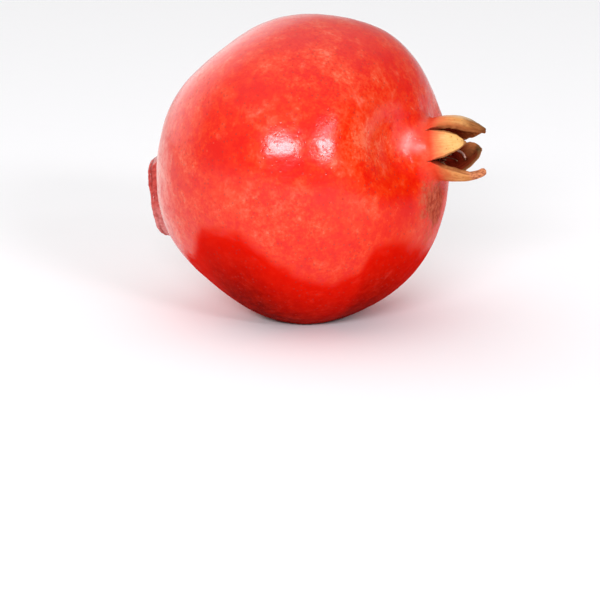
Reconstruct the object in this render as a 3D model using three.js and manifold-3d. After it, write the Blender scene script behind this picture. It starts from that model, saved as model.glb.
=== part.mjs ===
// A whole pomegranate, as picked, lying on its side on a small flat spot.
//
// The fruit is one solid: a lumpy, slightly flattened round of rind, the low boss round its stem end,
// and at the other end the calyx tube with its five dried sepals standing round an open cup.
// Two small dried pieces sit in it: the tuft of stamens in the cup, and the cut stub of the stem in the
// boss's dimple.
//
// Millimetres, +Z up. The crown points along +X, a little above the horizontal. The origin is the
// centre of the bounding box's lower face, so the flat spot lies on the plane Z = 0.
import * as THREE from "three";
import { mergeVertices } from "three/addons/utils/BufferGeometryUtils.js";
import Module from "manifold-3d";

// ---------- driving dimensions (millimetres and degrees) ----------

// The round of the fruit, before its lumps.
const EQUATOR_RADIUS = 45.0; // across the axis
const POLAR_RADIUS = 41.2; // along the axis
const AXIS_TILT = 11.7; // the crown end is this much higher than the stem end
const BASE_HEIGHT = 43.45; // from the fruit's centre down to the start of the flat spot's easing
const FLAT_EASE = 0.9; // the last part of the round eases into the flat spot over this height

// Flattening round the crown and round the stem end: depth as a share of the radius, and width.
const CROWN_FLAT = 0.06,
  CROWN_FLAT_WIDTH = 0.46;
const STEM_FLAT = 0.03,
  STEM_FLAT_WIDTH = 0.5;

// A hollow on one side of the neck: depth as a share of the radius, width, angle from the axis, turn.
// The neck rises out of it in a straighter slope than elsewhere: slope is how much straighter.
const HOLLOW = { depth: 0.15, width: 0.286, angle: 27.6, turn: 74, slope: 0.16, slopeWidth: 0.3 };

// Five soft meridian ridges under the five sepals, with weaker threes and sixes: [count, amplitude, phase].
const RIDGES = [
  [5, 0.0085, 0.5],
  [3, 0.006, -1.1],
  [6, 0.0045, 2.0],
];

// Slow undulation of the rind: [k1, k2, k3, phase, amplitude] on the unit direction (up, side, axis).
const UNDULATION = [
  [3.1, -2.2, 1.3, 0.7, 0.005],
  [-2.4, 3.3, 2.1, 2.1, 0.005],
  [4.7, 1.9, -3.0, 4.0, 0.0032],
  [-1.2, -5.1, 3.9, 1.2, 0.0032],
  [6.3, -3.7, 2.2, 5.2, 0.0018],
  [2.2, 6.8, -4.1, 0.3, 0.0018],
];

// Broad swellings and hollows, evenly spaced round one great circle of the fruit. Its pole lies at
// LUMP_POLE, an azimuth from -Y towards +X and an elevation. Each is a share of the radius.
const LUMP_POLE = [18.2, 12.5];
const LUMP_WIDTH = 0.46;
const LUMPS = [
  0.0274, 0.0245, -0.0234, 0.107, -0.0256, -0.0225, 0.0327, -0.0781, 0.0185,
  0.0168, -0.0107, 0.0535, 0.0283, -0.0413, 0.0224, 0.0038, 0.0033, 0.0054,
  0.0364, -0.0178,
];

// The calyx: a tube that rises from the crown end, and splits into sepals at its rim.
const NECK_ANGLE = 25; // the rind starts to rise into the calyx this far from the axis
const RIM_HEIGHT = 40.9; // the rim, where the sepals part, from the fruit's centre
const RIM_RADIUS = 9.15;
const CALYX_WALL = 2.1;
const CUP_FLOOR = 33.6; // the bottom of the cup, from the fruit's centre

// The sepals. from and to: the stretch of rim each grows from. length, radius and turn: where its tip
// is, along the axis, out from it, and round it. bulge and hook: how far its back stands out low down
// and near the tip. shoulder and taper: the outline's two exponents. curl: its cross-section's radius
// at the tip. tip: its thickness there. roll: how far it twists about its own length.
const SEPALS = [
  { from: -35, to: 40, length: 56.6, radius: 3.6, turn: -3, bulge: 1.1, hook: 2.3, shoulder: 3.0, taper: 0.5, curl: 3.3, tip: 1.1, roll: 6 },
  { from: 40, to: 101, length: 50.8, radius: 5.0, turn: 69, bulge: 1.0, hook: 1.0, shoulder: 1.65, taper: 0.64, curl: 6.5, tip: 1.3, roll: 0 },
  { from: 101, to: 188, length: 54.3, radius: 9.3, turn: 160, bulge: 1.8, hook: 1.4, shoulder: 1.25, taper: 0.7, curl: 4.0, tip: 2.2, roll: 0 },
  { from: 188, to: 265, length: 52.4, radius: 5.7, turn: 235, bulge: 1.4, hook: 1.4, shoulder: 1.7, taper: 0.8, curl: 6.5, tip: 1.1, roll: 0 },
  { from: 265, to: 325, length: 53.6, radius: 6.5, turn: 294, bulge: 1.2, hook: 1.3, shoulder: 1.5, taper: 0.85, curl: 6.5, tip: 1.1, roll: 0 },
];
const TIP_WIDTH = 0.07; // the narrowest share of a sepal's base that its tip comes down to

// The boss round the stem end: a low four-cornered disc with a dimple in it, a little below the axis.
const BOSS = {
  angle: 27, // the rind starts to rise into the boss this far from the axis
  centre: [-2.17, 0.35], // up and side, from the axis
  wall: -44.2, // the widest part of its side
  wallRadius: 11.0,
  top: -46.3, // its face
  topRadius: 8.9,
  floor: -43.0, // the dimple's floor
  floorRadius: 3.3,
  squareTurn: 80.8, // the turn of its flattest side
  squareNear: 9.8, // half its width on that side, on the far side, and across
  squareFar: 11.0,
  squareAcross: 12.0,
  squareness: 3.2, // the superellipse's exponent
};
const BOSS_WAVES = [
  [7, 0.01, 0.9],
  [11, 0.006, 1.0],
];

// The stub of the stem, cut flush with the boss's face.
const STUB = { base: -43.35, end: -46.0, radius: 2.75, neck: 2.35, sides: 14 };

// The dried stamens: filaments on a thin ring that lies against the cup's wall.
const STAMENS = {
  count: 18,
  ringHeight: 36.6,
  ringRadius: 5.55,
  ringThickness: 0.42,
  filamentRadius: 0.3,
  reach: [4.4, 6.4], // shortest and longest rise above the ring
  lean: [-0.55, 0.35], // how far a tip leans in or out
  antherRadius: 0.62,
  // Two longer ones that show in the gap between two sepals: turn, rise, lean, and turn of the tip.
  long: [
    [262, 10.9, -0.9, 222],
    [238, 8.3, -0.7, 208],
  ],
};

// How finely the surface is cut.
const MESH = {
  sepalColumns: 8,
  sepalRows: 7,
  dimpleRows: 1,
  dimpleWallRows: 3,
  bossRows: 3,
  bossFilletRows: 4,
  bodyRows: 30,
  neckRows: 4,
  cupRows: 4,
};

// ---------- small helpers ----------

const { cos, sin, sqrt, abs, exp, acos, max, min, PI } = Math;
const rad = (degrees) => (degrees * PI) / 180;
const clamp01 = (x) => min(1, max(0, x));
const smooth = (x) => {
  const c = clamp01(x);
  return c * c * (3 - 2 * c);
};
const dot = (a, b) => a[0] * b[0] + a[1] * b[1] + a[2] * b[2];
const cross = (a, b) => [
  a[1] * b[2] - a[2] * b[1],
  a[2] * b[0] - a[0] * b[2],
  a[0] * b[1] - a[1] * b[0],
];

/** A point on a cubic curve in the half-plane (height along the axis, distance from it). */
function bezier(p0, p1, p2, p3, t) {
  const s = 1 - t;
  return [0, 1].map(
    (i) =>
      s * s * s * p0[i] +
      3 * s * s * t * p1[i] +
      3 * s * t * t * p2[i] +
      t * t * t * p3[i],
  );
}

// The fruit's own axes: UP and SIDE cross the axis, and a turn counts from UP towards SIDE.
const tilt = rad(AXIS_TILT);
const AXIS = [cos(tilt), 0, sin(tilt)];
const UP = [-sin(tilt), 0, cos(tilt)];
const SIDE = [0, -1, 0];

/** From (height, up, side) in the fruit's own axes to world directions, about the fruit's centre. */
const toWorld = ([height, up, side]) =>
  [0, 1, 2].map((i) => height * AXIS[i] + up * UP[i] + side * SIDE[i]);

// ---------- the round of the fruit ----------

const poleAz = rad(LUMP_POLE[0]),
  poleEl = rad(LUMP_POLE[1]);
const lumpPole = [sin(poleAz) * cos(poleEl), -cos(poleAz) * cos(poleEl), sin(poleEl)];
const lumpRight = [cos(poleAz), sin(poleAz), 0];
const lumpUp = cross(lumpPole, lumpRight);
const lumpDirections = LUMPS.map((_, k) => {
  const a = (2 * PI * k) / LUMPS.length;
  return [0, 1, 2].map((i) => cos(a) * lumpRight[i] + sin(a) * lumpUp[i]);
});

const hollowAngle = rad(HOLLOW.angle),
  hollowTurn = rad(HOLLOW.turn);
const hollowDirection = [
  cos(hollowAngle),
  sin(hollowAngle) * cos(hollowTurn),
  sin(hollowAngle) * sin(hollowTurn),
];

/** The rind's distance from the fruit's centre, at an angle from the axis and a turn about it. */
function rindRadius(angle, turn) {
  const st = sin(angle),
    ct = cos(angle);
  const round = 1 / sqrt((ct / POLAR_RADIUS) ** 2 + (st / EQUATOR_RADIUS) ** 2);
  const d = [ct, st * cos(turn), st * sin(turn)];
  let f = 0;
  for (const [count, amplitude, phase] of RIDGES)
    f += st * st * amplitude * cos(count * turn + phase);
  for (const [k1, k2, k3, phase, amplitude] of UNDULATION)
    f += amplitude * sin(k1 * d[1] + k2 * d[2] + k3 * d[0] + phase);
  f -= CROWN_FLAT * exp(-((angle / CROWN_FLAT_WIDTH) ** 2));
  f -= STEM_FLAT * exp(-(((PI - angle) / STEM_FLAT_WIDTH) ** 2));
  const fromHollow = acos(min(1, max(-1, dot(d, hollowDirection))));
  f -= HOLLOW.depth * exp(-((fromHollow / HOLLOW.width) ** 2));
  const w = toWorld(d);
  LUMPS.forEach((share, k) => {
    const away = acos(min(1, max(-1, dot(w, lumpDirections[k]))));
    f += share * exp(-((away / LUMP_WIDTH) ** 2));
  });
  return round * (1 + f);
}

/** The rind as a point (height, distance from the axis). */
function rindPoint(angle, turn) {
  const r = rindRadius(angle, turn);
  return [r * cos(angle), r * sin(angle)];
}

/** The rind's unit direction along a meridian at an angle, heading towards the crown. */
function rindTangent(angle, turn) {
  const step = 0.01,
    a = rindPoint(angle + step / 2, turn),
    b = rindPoint(angle - step / 2, turn);
  const d = [b[0] - a[0], b[1] - a[1]],
    length = Math.hypot(...d);
  return [d[0] / length, d[1] / length];
}

/** The boss's outline at a turn about its own centre, as a multiple of its round radius. */
function bossOutline(turn) {
  const q = turn - rad(BOSS.squareTurn),
    across = cos(q) > 0 ? BOSS.squareNear : BOSS.squareFar;
  let f =
    (abs(cos(q) / across) ** BOSS.squareness +
      abs(sin(q) / BOSS.squareAcross) ** BOSS.squareness) **
      (-1 / BOSS.squareness) /
    BOSS.wallRadius;
  let wave = 1;
  for (const [count, amplitude, phase] of BOSS_WAVES)
    wave += amplitude * cos(count * turn + phase);
  return f * wave;
}

/** The outside along one meridian, from the stem end's dimple to the calyx's rim: [height, up, side]. */
function outsideColumn(ringTurn, evenTurn) {
  const rows = [];
  const wave = bossOutline(evenTurn);
  const curve = (p0, p1, p2, p3, steps, turn) => {
    for (let j = 1; j <= steps; j++)
      rows.push([...bezier(p0, p1, p2, p3, j / steps), turn]);
  };
  // the dimple's floor and wall, the boss's rounded edge
  for (let j = 1; j <= MESH.dimpleRows; j++)
    rows.push([BOSS.floor, (BOSS.floorRadius * wave * j) / MESH.dimpleRows, evenTurn]);
  curve(
    [BOSS.floor, BOSS.floorRadius * wave],
    [BOSS.floor - 0.2, (BOSS.floorRadius + 1.3) * wave],
    [BOSS.top, (BOSS.topRadius - 2.6) * wave],
    [BOSS.top, BOSS.topRadius * wave],
    MESH.dimpleWallRows,
    evenTurn,
  );
  curve(
    [BOSS.top, BOSS.topRadius * wave],
    [BOSS.top, (BOSS.topRadius + 1.6) * wave],
    [BOSS.wall - 1.25, BOSS.wallRadius * wave],
    [BOSS.wall, BOSS.wallRadius * wave],
    MESH.bossRows,
    evenTurn,
  );
  // the fillet from the boss to the rind
  const low = PI - rad(BOSS.angle);
  {
    const start = [BOSS.wall, BOSS.wallRadius * wave],
      end = rindPoint(low, evenTurn),
      t = rindTangent(low, evenTurn),
      d = Math.hypot(end[0] - start[0], end[1] - start[1]);
    curve(
      start,
      [start[0] + 0.42 * d, start[1]],
      [end[0] - t[0] * 0.55 * d, end[1] - t[1] * 0.55 * d],
      end,
      MESH.bossFilletRows,
      evenTurn,
    );
  }
  // the rind, whose columns gather towards the sepals' own spacing
  const high = rad(NECK_ANGLE);
  for (let j = 1; j <= MESH.bodyRows; j++) {
    const x = j / MESH.bodyRows,
      angle = low + (high - low) * x,
      mix = smooth((x - 0.55) / 0.45),
      turn = evenTurn * (1 - mix) + ringTurn * mix;
    rows.push([...rindPoint(angle, turn), turn]);
  }
  // the neck, up to the calyx's rim
  {
    const start = rindPoint(high, ringTurn),
      t = rindTangent(high, ringTurn),
      end = [RIM_HEIGHT, RIM_RADIUS],
      d = Math.hypot(end[0] - start[0], end[1] - start[1]),
      less = HOLLOW.slope * exp(-(1 - cos(ringTurn - hollowTurn)) / HOLLOW.slopeWidth),
      leave = (0.62 - less) * d,
      arrive = (0.36 - less) * d;
    curve(
      start,
      [start[0] + t[0] * leave, start[1] + t[1] * leave],
      [end[0] - arrive, end[1] + 0.02 * d],
      end,
      MESH.neckRows,
      ringTurn,
    );
  }
  // to (height, up, side), with the boss moved to its own centre and its fillet back to the axis
  const bossRows = MESH.dimpleRows + MESH.dimpleWallRows + MESH.bossRows;
  return rows.map(([height, distance, turn], i) => {
    const share =
      i < bossRows ? 1 : 1 - smooth((i - bossRows + 1) / MESH.bossFilletRows);
    return [
      height,
      distance * cos(turn) + share * BOSS.centre[0],
      distance * sin(turn) + share * BOSS.centre[1],
    ];
  });
}

/** One sepal's outer and inner faces: rows of points (height, up, side) for each share w of its length. */
function sepalFaces(sepal, shares) {
  const from = rad(sepal.from),
    to = rad(sepal.to),
    middle = (from + to) / 2,
    half = (to - from) / 2,
    tipTurn = rad(sepal.turn);
  const p0 = [RIM_HEIGHT, RIM_RADIUS],
    p3 = [sepal.length, sepal.radius],
    d = Math.hypot(p3[0] - p0[0], p3[1] - p0[1]),
    p1 = [p0[0] + 0.34 * d, p0[1] + sepal.bulge * 0.6],
    e = Math.hypot(p3[0] - p1[0], p3[1] - p1[1]),
    p2 = [
      p3[0] - ((p3[0] - p1[0]) / e) * 0.33 * d,
      p3[1] - ((p3[1] - p1[1]) / e) * 0.33 * d + sepal.hook * 0.9,
    ],
    roll = rad(sepal.roll);
  const outer = [],
    inner = [];
  for (const w of shares) {
    const s = 1 - w,
      centre = bezier(p0, p1, p2, p3, w);
    let run = [0, 1].map(
      (i) =>
        3 * s * s * (p1[i] - p0[i]) +
        6 * s * w * (p2[i] - p1[i]) +
        3 * w * w * (p3[i] - p2[i]),
    );
    let length = Math.hypot(...run);
    const k = smooth(w * 3);
    run = [(run[0] / length) * k + (1 - k), (run[1] / length) * k];
    length = Math.hypot(...run);
    run = [run[0] / length, run[1] / length];
    const turn = middle + (tipTurn - middle) * smooth(w),
      curl = RIM_RADIUS + (sepal.curl - RIM_RADIUS) * smooth(w),
      width =
        RIM_RADIUS * half * max((1 - w ** sepal.shoulder) ** sepal.taper, TIP_WIDTH);
    const twist = turn + roll * smooth(w * 1.4);
    const outerRow = [],
      innerRow = [];
    for (let i = 0; i <= MESH.sepalColumns; i++) {
      const v = -1 + (2 * i) / MESH.sepalColumns,
        bend = (v * width) / curl,
        back = curl * (1 - cos(bend)),
        across = curl * sin(bend);
      const p = [
        centre[0],
        centre[1] * cos(turn) - back * cos(twist) - across * sin(twist),
        centre[1] * sin(turn) - back * sin(twist) + across * cos(twist),
      ];
      const n = [
        -run[1],
        cos(twist + bend) * run[0],
        sin(twist + bend) * run[0],
      ];
      const thick =
        (CALYX_WALL + (sepal.tip - CALYX_WALL) * w ** 0.8) *
        (1 - 0.5 * abs(v) ** 3 * smooth(w * 3));
      outerRow.push(p);
      innerRow.push(p.map((x, j) => x - n[j] * thick));
    }
    outer.push(outerRow);
    inner.push(innerRow);
  }
  return { outer, inner };
}

/** The whole fruit as one closed surface, standing on its flat spot under its centre. */
function fruitGeometry() {
  const columns = SEPALS.length * MESH.sepalColumns;
  const ring = SEPALS.flatMap((s) =>
    Array.from({ length: MESH.sepalColumns }, (_, i) =>
      rad(s.from + ((s.to - s.from) * i) / MESH.sepalColumns),
    ),
  );
  const points = [],
    faces = [];
  const add = (p) => points.push(p) - 1;
  const polar = (height, distance, turn) =>
    add([height, distance * cos(turn), distance * sin(turn)]);
  const next = (c) => (c + 1) % columns;
  const band = (a, b) => {
    for (let c = 0; c < columns; c++) faces.push([a[c], a[next(c)], b[next(c)], b[c]]);
  };

  // outside, from the dimple to the rim
  const profile = ring.map((turn, c) =>
    outsideColumn(turn, ring[0] + (2 * PI * c) / columns),
  );
  const outside = profile[0].map((_, j) => profile.map((column) => add(column[j])));
  const stemEnd = add([BOSS.floor, ...BOSS.centre]);
  for (let c = 0; c < columns; c++)
    faces.push([stemEnd, outside[0][next(c)], outside[0][c]]);
  for (let j = 0; j + 1 < outside.length; j++) band(outside[j], outside[j + 1]);
  const rimOut = outside[outside.length - 1];

  // inside the cup, from the rim to its floor
  const rimIn = ring.map((turn) => polar(RIM_HEIGHT, RIM_RADIUS - CALYX_WALL, turn));
  let last = rimIn;
  for (let j = 1; j <= MESH.cupRows; j++) {
    const [height, distance] = bezier(
      [RIM_HEIGHT, RIM_RADIUS - CALYX_WALL],
      [RIM_HEIGHT - 4.5, RIM_RADIUS - CALYX_WALL - 0.1],
      [CUP_FLOOR, 6.2],
      [CUP_FLOOR, 2.0],
      j / MESH.cupRows,
    );
    const row = ring.map((turn) => polar(height, distance, turn));
    band(last, row);
    last = row;
  }
  const cupEnd = add([CUP_FLOOR, 0, 0]);
  for (let c = 0; c < columns; c++) faces.push([last[c], last[next(c)], cupEnd]);

  // the sepals
  const n = MESH.sepalColumns,
    m = MESH.sepalRows;
  const shares = Array.from({ length: m + 1 }, (_, j) =>
    j === m ? 1 : 0.55 * sin((PI / 2) * (j / m)) + 0.45 * (j / m),
  );
  SEPALS.forEach((sepal, k) => {
    const { outer, inner } = sepalFaces(sepal, shares);
    const at = Array.from({ length: n + 1 }, (_, i) => (k * n + i) % columns);
    const O = [at.map((c) => rimOut[c])],
      I = [at.map((c) => rimIn[c])];
    for (let j = 1; j <= m; j++) {
      O.push(outer[j].map(add));
      I.push(inner[j].map(add));
    }
    for (let j = 0; j < m; j++)
      for (let i = 0; i < n; i++) {
        faces.push([O[j][i], O[j][i + 1], O[j + 1][i + 1], O[j + 1][i]]);
        faces.push([I[j][i + 1], I[j][i], I[j + 1][i], I[j + 1][i + 1]]);
      }
    const edge = [];
    for (let j = 0; j <= m; j++) edge.push([0, j]);
    for (let i = 1; i <= n; i++) edge.push([i, m]);
    for (let j = m - 1; j >= 0; j--) edge.push([n, j]);
    for (let a = 0; a + 1 < edge.length; a++) {
      const [i0, j0] = edge[a],
        [i1, j1] = edge[a + 1];
      faces.push([O[j0][i0], O[j1][i1], I[j1][i1], I[j0][i0]]);
    }
  });

  // into world directions, and eased onto the flat spot
  const position = new Float32Array(points.length * 3);
  points.forEach((p, i) => {
    const w = toWorld(p),
      s = w[2] + BASE_HEIGHT;
    w[2] = s <= 0 ? 0 : s < FLAT_EASE ? (s * s) / (2 * FLAT_EASE) : s - FLAT_EASE / 2;
    position.set(w, i * 3);
  });
  const index = faces.flatMap((f) =>
    f.length === 3 ? f : [f[0], f[1], f[2], f[0], f[2], f[3]],
  );
  const geometry = new THREE.BufferGeometry();
  geometry.setAttribute("position", new THREE.BufferAttribute(position, 3));
  geometry.setIndex(index);
  geometry.computeVertexNormals();
  return geometry;
}

// ---------- joining small closed solids ----------

const wasm = await Module();
wasm.setup();

function toSolid(geometry) {
  const g = geometry.clone();
  g.deleteAttribute("normal");
  g.deleteAttribute("uv");
  const merged = mergeVertices(g, 1e-4);
  return new wasm.Manifold(
    new wasm.Mesh({
      numProp: 3,
      vertProperties: new Float32Array(merged.attributes.position.array),
      triVerts: new Uint32Array(merged.index.array),
    }),
  );
}

function toGeometry(solid) {
  const mesh = solid.getMesh(),
    position = new Float32Array(mesh.numVert * 3);
  for (let i = 0; i < mesh.numVert; i++)
    for (let j = 0; j < 3; j++)
      position[i * 3 + j] = mesh.vertProperties[i * mesh.numProp + j];
  const geometry = new THREE.BufferGeometry();
  geometry.setAttribute("position", new THREE.BufferAttribute(position, 3));
  geometry.setIndex(new THREE.BufferAttribute(new Uint32Array(mesh.triVerts), 1));
  geometry.computeVertexNormals();
  return geometry;
}

// ---------- the stamens ----------
// Local axes: X is UP, Y is SIDE and Z is the fruit's axis.

/** A fixed, uneven sequence between 0 and 1, one number for each whole n. */
const uneven = (n) => {
  const x = sin(n * 12.9898 + 4.1) * 43758.5453;
  return x - Math.floor(x);
};
const between = ([low, high], share) => low + (high - low) * share;

function stamenGeometry() {
  const ring = new THREE.TorusGeometry(STAMENS.ringRadius, STAMENS.ringThickness, 6, 30);
  ring.translate(0, 0, STAMENS.ringHeight);
  let solid = toSolid(ring);
  const short = Array.from({ length: STAMENS.count }, (_, k) => {
    const turn = (2 * PI * (k + 0.5 * (uneven(k) - 0.5))) / STAMENS.count,
      rise = between(STAMENS.reach, uneven(k + 40)),
      lean = between(STAMENS.lean, uneven(k + 80));
    return [turn, rise, lean, turn];
  });
  const long = STAMENS.long.map(([turn, rise, lean, tipTurn]) => [rad(turn), rise, lean, rad(tipTurn)]);
  for (const [turn, rise, lean, tipTurn] of [...short, ...long]) {
    const foot = new THREE.Vector3(
        STAMENS.ringRadius * cos(turn),
        STAMENS.ringRadius * sin(turn),
        STAMENS.ringHeight,
      ),
      tip = new THREE.Vector3(
        (STAMENS.ringRadius + lean) * cos(tipTurn),
        (STAMENS.ringRadius + lean) * sin(tipTurn),
        STAMENS.ringHeight + rise,
      );
    const run = tip.clone().sub(foot),
      toRun = new THREE.Quaternion().setFromUnitVectors(
        new THREE.Vector3(0, 1, 0),
        run.clone().normalize(),
      );
    const filament = new THREE.CylinderGeometry(
      STAMENS.filamentRadius * 0.7,
      STAMENS.filamentRadius,
      run.length(),
      5,
      1,
    );
    filament.applyQuaternion(toRun);
    filament.translate(...foot.clone().add(tip).multiplyScalar(0.5).toArray());
    const anther = new THREE.IcosahedronGeometry(STAMENS.antherRadius, 0);
    anther.scale(0.62, 1, 0.62);
    anther.applyQuaternion(toRun);
    anther.translate(...tip.toArray());
    solid = solid.add(toSolid(filament)).add(toSolid(anther));
  }
  return toGeometry(solid);
}

// ---------- the stub of the stem ----------

function stubGeometry() {
  const { base, end, radius, neck, sides } = STUB;
  // Profile from the axis at the base, out, down the side and back to the axis at the cut.
  const profile = [
    [0, base],
    [radius * 0.93, base],
    [radius, base - 0.3],
    [neck, base - 1.1],
    [neck * 1.02, end + 0.35],
    [neck * 0.86, end],
    [neck * 0.3, end + 0.18],
    [0, end + 0.3],
  ].map(([r, height]) => new THREE.Vector2(r, height));
  const geometry = new THREE.LatheGeometry(profile, sides);
  geometry.rotateX(PI / 2); // the lathe turns about Y: lay its axis along Z, heights kept
  // The lathe's profile runs down, which turns its faces inwards: swap each triangle's winding.
  const index = geometry.index.array;
  for (let i = 0; i < index.length; i += 3)
    [index[i + 1], index[i + 2]] = [index[i + 2], index[i + 1]];
  return toGeometry(toSolid(geometry));
}

// ---------- the scene graph ----------

const rind = new THREE.MeshStandardMaterial({ color: 0xd8402c, roughness: 0.32, metalness: 0 });
const driedStamen = new THREE.MeshStandardMaterial({ color: 0xa8824a, roughness: 0.85, metalness: 0 });
const stemWood = new THREE.MeshStandardMaterial({ color: 0x6b4a2c, roughness: 0.9, metalness: 0 });

const body = fruitGeometry();
body.computeBoundingBox();
const box = body.boundingBox;

const fruit = new THREE.Mesh(body, rind);
fruit.name = "fruit";

// The two dried pieces lie on the fruit's own axis: X up, Y to the side, Z towards the crown.
const onAxis = new THREE.Group();
onAxis.position.set(0, 0, BASE_HEIGHT - FLAT_EASE / 2);
onAxis.quaternion.setFromRotationMatrix(
  new THREE.Matrix4().makeBasis(
    new THREE.Vector3(...UP),
    new THREE.Vector3(...SIDE),
    new THREE.Vector3(...AXIS),
  ),
);
const stamens = new THREE.Mesh(stamenGeometry(), driedStamen);
stamens.name = "stamens";
const stub = new THREE.Mesh(stubGeometry(), stemWood);
stub.name = "stem_stub";
stub.position.set(BOSS.centre[0], BOSS.centre[1], 0);
onAxis.add(stamens, stub);

const pomegranate = new THREE.Group();
pomegranate.name = "pomegranate";
pomegranate.add(fruit, onAxis);
pomegranate.position.set(
  -(box.min.x + box.max.x) / 2,
  -(box.min.y + box.max.y) / 2,
  0,
);

export default pomegranate;
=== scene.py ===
"""A pomegranate lying on its side: rind with calyx and stem boss, dried stamens, stem stub."""

import math

import bpy
import numpy as np
from mathutils import Matrix, Vector


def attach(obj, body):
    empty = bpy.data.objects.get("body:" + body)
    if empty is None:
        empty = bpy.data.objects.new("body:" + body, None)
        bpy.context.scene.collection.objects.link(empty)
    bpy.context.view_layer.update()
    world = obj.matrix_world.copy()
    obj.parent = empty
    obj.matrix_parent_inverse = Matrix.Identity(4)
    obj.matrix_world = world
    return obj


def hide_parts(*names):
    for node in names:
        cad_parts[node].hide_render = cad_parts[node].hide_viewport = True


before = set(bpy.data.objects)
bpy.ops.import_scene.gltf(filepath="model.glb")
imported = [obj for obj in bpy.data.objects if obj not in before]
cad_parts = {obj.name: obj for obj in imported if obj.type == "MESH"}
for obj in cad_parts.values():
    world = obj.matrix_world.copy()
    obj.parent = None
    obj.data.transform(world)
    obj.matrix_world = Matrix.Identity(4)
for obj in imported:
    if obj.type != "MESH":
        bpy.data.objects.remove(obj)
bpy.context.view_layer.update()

rad, sin, cos, PI = math.radians, math.sin, math.cos, math.pi

# ------------------------------------------------------------------ dimensions (mm)
CENTRE = np.array([-4.0207, -0.5495, 43.0])  # the fruit's centre in the row frame
TILT = rad(11.7)
EQUATOR, POLAR = 45.0, 41.2
UP_CENTRE = 43.45
FLAT_EASE = 0.9
LUMP_W = 0.46
HOLLOW = dict(depth=0.15, width=0.286, th=rad(27.6), ps=rad(74), slope=0.16, slope_width=0.3)
LUMPS = [0.0274, 0.0245, -0.0234, 0.107, -0.0256, -0.0225, 0.0327, -0.0781, 0.0185, 0.0168,
         -0.0107, 0.0535, 0.0283, -0.0413, 0.0224, 0.0038, 0.0033, 0.0054, 0.0364, -0.0178]
UNDULATION = [
    (3.1, -2.2, 1.3, 0.7, 0.0050), (-2.4, 3.3, 2.1, 2.1, 0.0050), (4.7, 1.9, -3.0, 4.0, 0.0032),
    (-1.2, -5.1, 3.9, 1.2, 0.0032), (6.3, -3.7, 2.2, 5.2, 0.0018), (2.2, 6.8, -4.1, 0.3, 0.0018),
]
RIM_L, RIM_R = 40.9, 9.15
NECK_ANGLE, BOSS_ANGLE = rad(25.0), rad(27.0)
WALL, CUP_FLOOR = 2.1, 33.6
BOSS = dict(floor=-43.0, r0=3.3, top=-46.3, r1=8.9, wall=-44.2, r2=11.0)
BOSS_C = (-2.17, 0.35)
SEPALS = [
    dict(wavy=0.09, b0=-35, b1=40, L=55.9, R=3.4, t=-3, g=0.85, g2=2.9, p=3.0, q=0.50, rc=3.3, tt=1.1, roll=6),
    dict(wavy=0.045, b0=40, b1=101, L=50.9, R=5.0, t=70, g=1.0, g2=1.0, p=1.62, q=0.70, rc=6.5, tt=1.3, roll=0),
    dict(wavy=0.08, b0=101, b1=188, L=54.3, R=9.3, t=160, g=1.8, g2=1.4, p=1.25, q=0.70, rc=4.0, tt=2.2, roll=0),
    dict(wavy=0.08, b0=188, b1=265, L=52.3, R=6.1, t=243, g=1.4, g2=1.6, p=2.25, q=0.86, rc=6.5, tt=1.1, roll=0),
    dict(wavy=0.11, b0=265, b1=325, L=53.6, R=6.5, t=291.5, g=1.2, g2=1.3, p=1.62, q=0.85, rc=6.5, tt=1.1, roll=0),
]
STUB = dict(base=-43.35, end=-46.0, radius=2.75, neck=2.35)

AXIS = np.array([cos(TILT), 0, sin(TILT)])
UP = np.array([-sin(TILT), 0, cos(TILT)])
SIDE = np.array([0, -1.0, 0])
VIEW_AZ, VIEW_EL = rad(18.2), rad(12.5)
VIEW = np.array([sin(VIEW_AZ) * cos(VIEW_EL), -cos(VIEW_AZ) * cos(VIEW_EL), sin(VIEW_EL)])
VIEW_R = np.array([cos(VIEW_AZ), sin(VIEW_AZ), 0.0])
VIEW_U = np.cross(VIEW, VIEW_R)
LUMP_AT = np.array([cos(2 * PI * k / 20) * VIEW_R + sin(2 * PI * k / 20) * VIEW_U for k in range(20)])

# Soft patches of the rind's colour: place from the fruit's centre (mm), size (mm), strength. The last line of pale
# patches, round the hollow beside the crown, is painted light that lifts the hollow's shade.
PALE_MOTTLE_AND_PAINTED_LIGHT = [(26, -15, 30, 4.0, 0.30), (18, -23, 33, 3.5, 1.00), (10, -20, 38, 3.8, 0.55), (-4, -26, 37, 5.0, 0.55), (25, -16, 31, 5.0, 0.60),
        (11, -31, 30, 3.5, 0.40), (30, -20, 22, 4.1, 0.50), (19, -30, 25, 3.8, 0.50), (13, -42, 4, 2.3, 1.00),
        (-12, -43, 0, 4.4, 0.50), (-5, -44, 0, 4.1, 0.50), (30, -30, -3, 2.3, 0.70), (13, -42, -5, 4.4, 0.20),
        (19, -39, -7, 5.0, 0.50), (23, -35, 11, 3.5, 0.35), (25, -35, -4, 3.5, 0.30), (4, -44, -3, 3.5, 0.35),
        (-20, -25, 32, 4.7, 0.40),  (20, -32, -24, 1.2, 0.90), (26, -29, -21, 1.2, 0.90), (39, -9, 10, 3.5, 0.40),
        (24, -29, 18, 4.6, 0.65), (26, -29, 13, 4.6, 0.70), (28, -24, 12, 4.4, 0.80), (29, -17, 13, 4.6, 1.00), (30, -14, 10, 3.4, 0.60)]
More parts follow.
